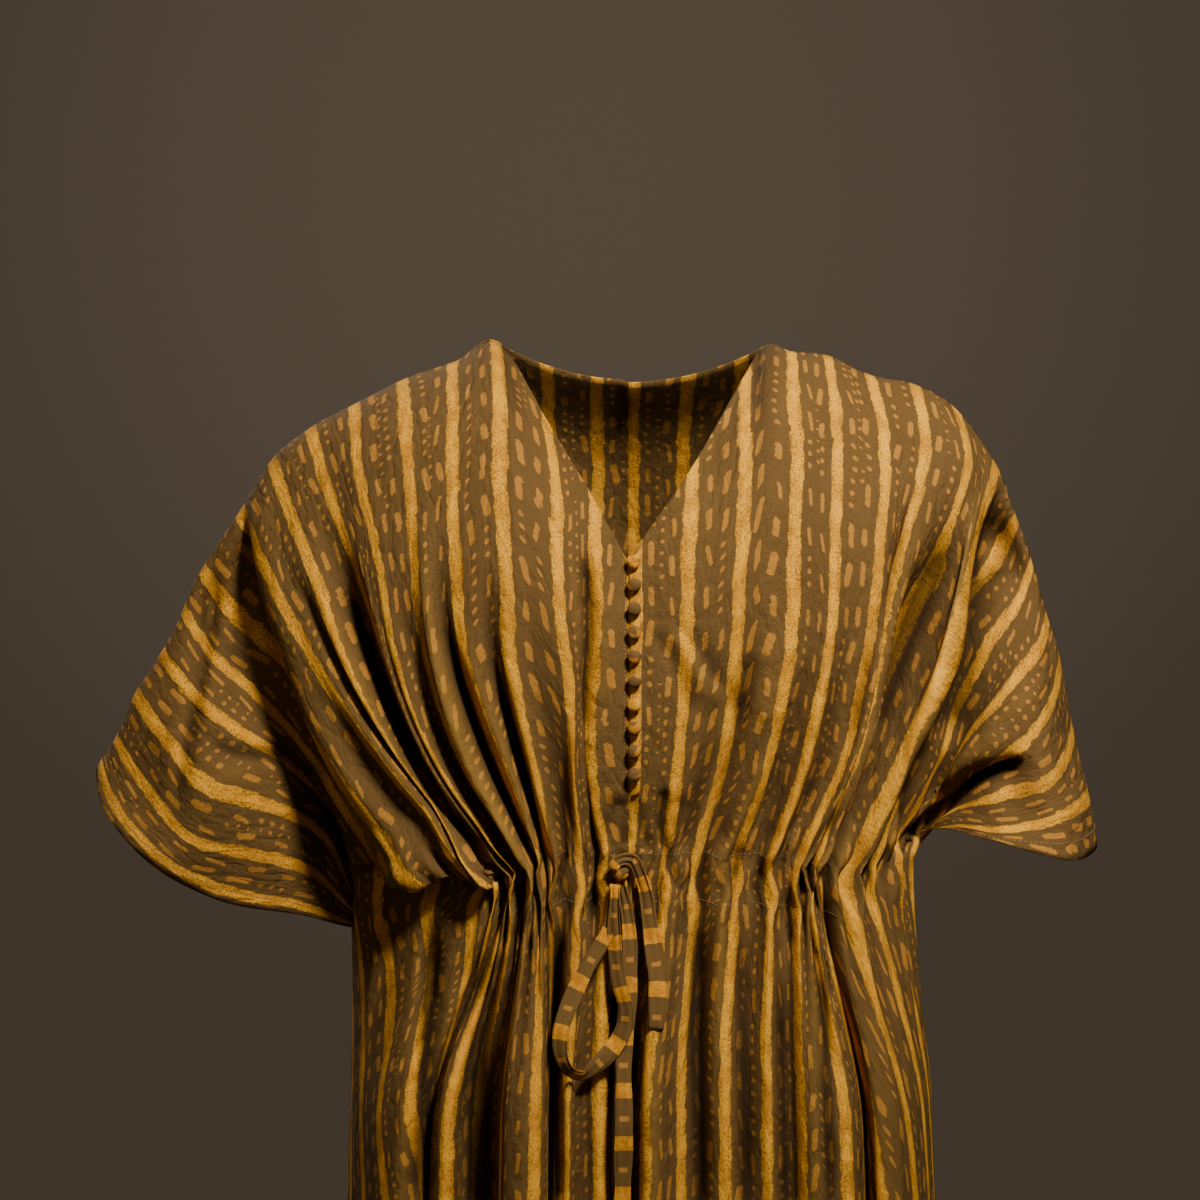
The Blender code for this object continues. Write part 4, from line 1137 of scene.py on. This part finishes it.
def make_tie(front, top, low, slot):
    """The drawstring: its knot, its two free ends and the loop of its slip knot."""
    bpy.context.view_layer.update()
    tree = BVHTree.FromObject(front, bpy.context.evaluated_depsgraph_get())
    knot_low, knot_high = (np.array(c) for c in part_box("tie_knot"))
    tied = knot("knot_cloth", (knot_low + knot_high) / 2, slot)
    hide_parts("tie_knot")
    cords = [tied]
    grids = [top[:, -10:], low[:, :28]]
    over_knot = ((-11, 355.5), (-7.5, 350.5), (-1.5, 348.6), (4, 350.2))
    right_tail = over_knot + tuple((a - 2.5, d) for a, d in RIGHT_TAIL)
    # Each row is a route, how far its quarters lie over the rest, and its turn along it.
    routes = (
        ("tie_tail_right", right_tail, (4, 1, 0, 0), ((0, 0.3, 0.7, 1), (10, -22, 8, -6))),
        ("tie_tail_left", LEFT_TAIL, (0, 0, 0, 0), ((0, 0.2, 0.5, 0.8, 1), (-18, 8, -8, 10, 0))),
        ("tie_loop", LOOP, (3.4, 3.4, 4.4, 7), ((0, 0.3, 0.52, 0.62, 1), (0, -22, -40, 30, 8))),
    )
    for name, rows, layer, lean in routes:
        path = tape_route(rows, layer, grids)
        loop = name == "tie_loop"
        seated = None if loop else tree
        made, path, long = ribbon(name + "_cloth", path, slot, lean, tree=seated, loop=loop)
        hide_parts(name)
        cords.append(made)
    return cords


def make_strip(top, us, ts, slot):
    """The button strip on the slit's right edge, from behind the other edge to its own fold."""
    out = facing(top, -1)
    rows = np.linspace(0, SLIT_END + 0.02, 90)
    across = ((-4.5, -1.8), (0.2, -1.2), (2.2, 0.7), (5.2, 0.95), (7.8, 0.9), (9.0, 0.45))
    lines = []
    for u, lift in across:
        lines.append(on_panel((top, out, us, ts), np.full(len(rows), u), rows, lift * MM)[0])
    at = np.array([u for u, _ in across])[:, None] * MM
    cloth = np.stack(np.broadcast_arrays(at, rows[None, :] * 0.2), 2)
    strip = add("strip_cloth", grid_mesh("strip_cloth", [(np.array(lines), cloth)]), slot)
    thicken(strip, 0.6 * MM)
    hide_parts("placket_strip")
    return strip


def make_buttons(lit, dim):
    """The ball buttons, set a little back and to the left of their solids' middles."""
    made = []
    size = (BUTTON_RADIUS * 0.92, BUTTON_RADIUS * 0.68, BUTTON_RADIUS * 0.92)
    for k in range(BUTTONS):
        name = f"button_{k + 1:02d}"
        low_corner, high_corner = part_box(name)
        centre = (np.array(low_corner) + np.array(high_corner)) / 2
        centre -= (2.8 * MM, -1.9 * MM, 0)
        slot = lit if k in (0, 6) else dim
        button = covered_button(name + "_cloth", centre, size, slot, k * 1.7, 0.1)
        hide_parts(name)
        made.append(button)
    return made


def make_sewing(upper_front, lower_front, upper_back, lower_back, thread, pale):
    """Rows of sewing: beside the slit, at the casing, round the cuffs and round the hem."""
    rows = np.linspace(0.0, SLIT_END + 0.01, 260)
    beside = [(-2.6, SEWING_OFF), (8.3, 1.2 * MM)]
    slit = [on_panel(upper_front, np.full(260, u), rows, off) for u, off in beside]
    edge = stitches("slit_sewing", slit, thread, 1.8 * MM, 1.1 * MM, 0.22 * MM)
    wide = np.linspace(-262, 282, 900)
    casing = [
        on_panel(upper_front, wide, np.full(900, 0.992)),
        on_panel(lower_front, wide, np.full(900, 0.033)),
    ]
    drawn = stitches("casing_sewing", casing, pale, 2.0 * MM, 1.5 * MM, 0.22 * MM)
    down = np.linspace(0.01, 0.99, 200)
    cuffs = []
    for panel in (upper_front, upper_back):
        cuffs += [on_panel(panel, np.full(200, u), down) for u in (-529.0, 529.0)]
    cuff = stitches("cuff_sewing", cuffs, thread, 2.6 * MM, 1.2 * MM, 0.28 * MM)
    round_it = np.linspace(-359, 359, 1200)
    hems = [on_panel(panel, round_it, np.full(1200, 0.978)) for panel in (lower_front, lower_back)]
    hem = stitches("hem_sewing", hems, thread, 3.0 * MM, 1.4 * MM, 0.3 * MM)
    return [edge, drawn, cuff, hem]


def light_room():
    """The backdrop and floor, a warm key from the right, and weak light from all round."""
    stage_plane("backdrop", 8, (0, 12, 0.0), math.radians(90), backdrop_look())
    stage_plane("floor", 2.3, (0, 0, -1.45), 0, plain("floor_paint", (0.30, 0.27, 0.23), 0.9))
    world = bpy.context.scene.world or bpy.data.worlds.new("studio")
    bpy.context.scene.world = world
    world.use_nodes = True
    world.node_tree.nodes["Background"].inputs[0].default_value = (1.0, 0.80, 0.60, 1)
    world.node_tree.nodes["Background"].inputs[1].default_value = 0.045
    key = bpy.data.lights.new("key", "SPOT")
    key.energy = 520
    key.color = (1.0, 0.955, 0.87)
    key.spot_size = math.radians(35)
    key.spot_blend = 1.0
    key.shadow_soft_size = 0.22
    aimed("key", key, (0.7, -1.75, 1.6), (0.14, 0, -0.08))
    area_light("fill", (-2.4, -2.2, 0.5), (0, 0, -0.3), (1.6, 1.8), 4, (1.0, 0.82, 0.62))
    area_light("back", (-1.3, 2.6, 1.3), (0, 0, -0.5), (1.6, 1.6), 60, (1.0, 0.95, 0.88))
    area_light("top", (-0.4, -0.3, 2.2), (0, 0, -0.2), (1.4, 0.8), 8, (1.0, 0.95, 0.88))


def main():
    studio_camera()
    cotton = printed_cotton()
    trim = trim_cotton("mustard_trim", 0.38, 0.07)
    lit_button = trim_cotton("mustard_button", 0.36, 0.09)
    dim_button = trim_cotton("brown_button", 0.58, 0.09, lit=DASH)
    tie_cloth = trim_cotton("tie_cloth", bands=True, lit=TIE_LIT)
    thread = plain("ochre_thread", (0.30, 0.18, 0.075))
    pale = plain("pale_thread", (0.30, 0.215, 0.125))

    # The columns lie closer together where the drapes end and the drawstring gathers the cloth.
    left = [(-540, -430, 26), (-430, -290, 58), (-290, -80, 84), (-80, -12, 26), (-12, 0, 4)]
    right = [(0, 12, 4), (12, 80, 26), (80, 290, 84), (290, 430, 58), (430, 540, 26)]
    us = spread_columns(left + right)
    ts = np.concatenate([np.linspace(0, 0.80, 54), np.linspace(0.81, 1, 24)])
    ss = np.concatenate([np.linspace(0, 0.10, 14), np.linspace(0.12, 0.40, 14), np.linspace(0.46, 1, 9)])
    front, top, low = make_panel("front_cloth", us, ts, ss, False, cotton)

    back_us = spread_columns([(-540, -360, 24), (-360, 360, 150), (360, 540, 24)])
    back_ts = np.linspace(0, 1, 60)
    back_ss = np.linspace(0, 1, 70)
    rear, rear_top, rear_low = make_panel("back_cloth", back_us, back_ts, back_ss, True, cotton)

    cords = make_tie(front, top, low, tie_cloth)
    strip = make_strip(top, us, ts, trim)
    buttons = make_buttons(lit_button, dim_button)
    body_us = us[np.abs(us) <= HALF_BODY]
    back_body = back_us[np.abs(back_us) <= HALF_BODY]
    sewing = make_sewing(
        (top, facing(top, -1), us, ts),
        (low, facing(low, -1), body_us, ss),
        (rear_top, facing(rear_top, 1), back_us, back_ts),
        (rear_low, facing(rear_low, 1), back_body, back_ss),
        thread,
        pale,
    )
    for made in [strip] + cords + buttons + sewing:
        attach(made, "root")
    light_room()


main()
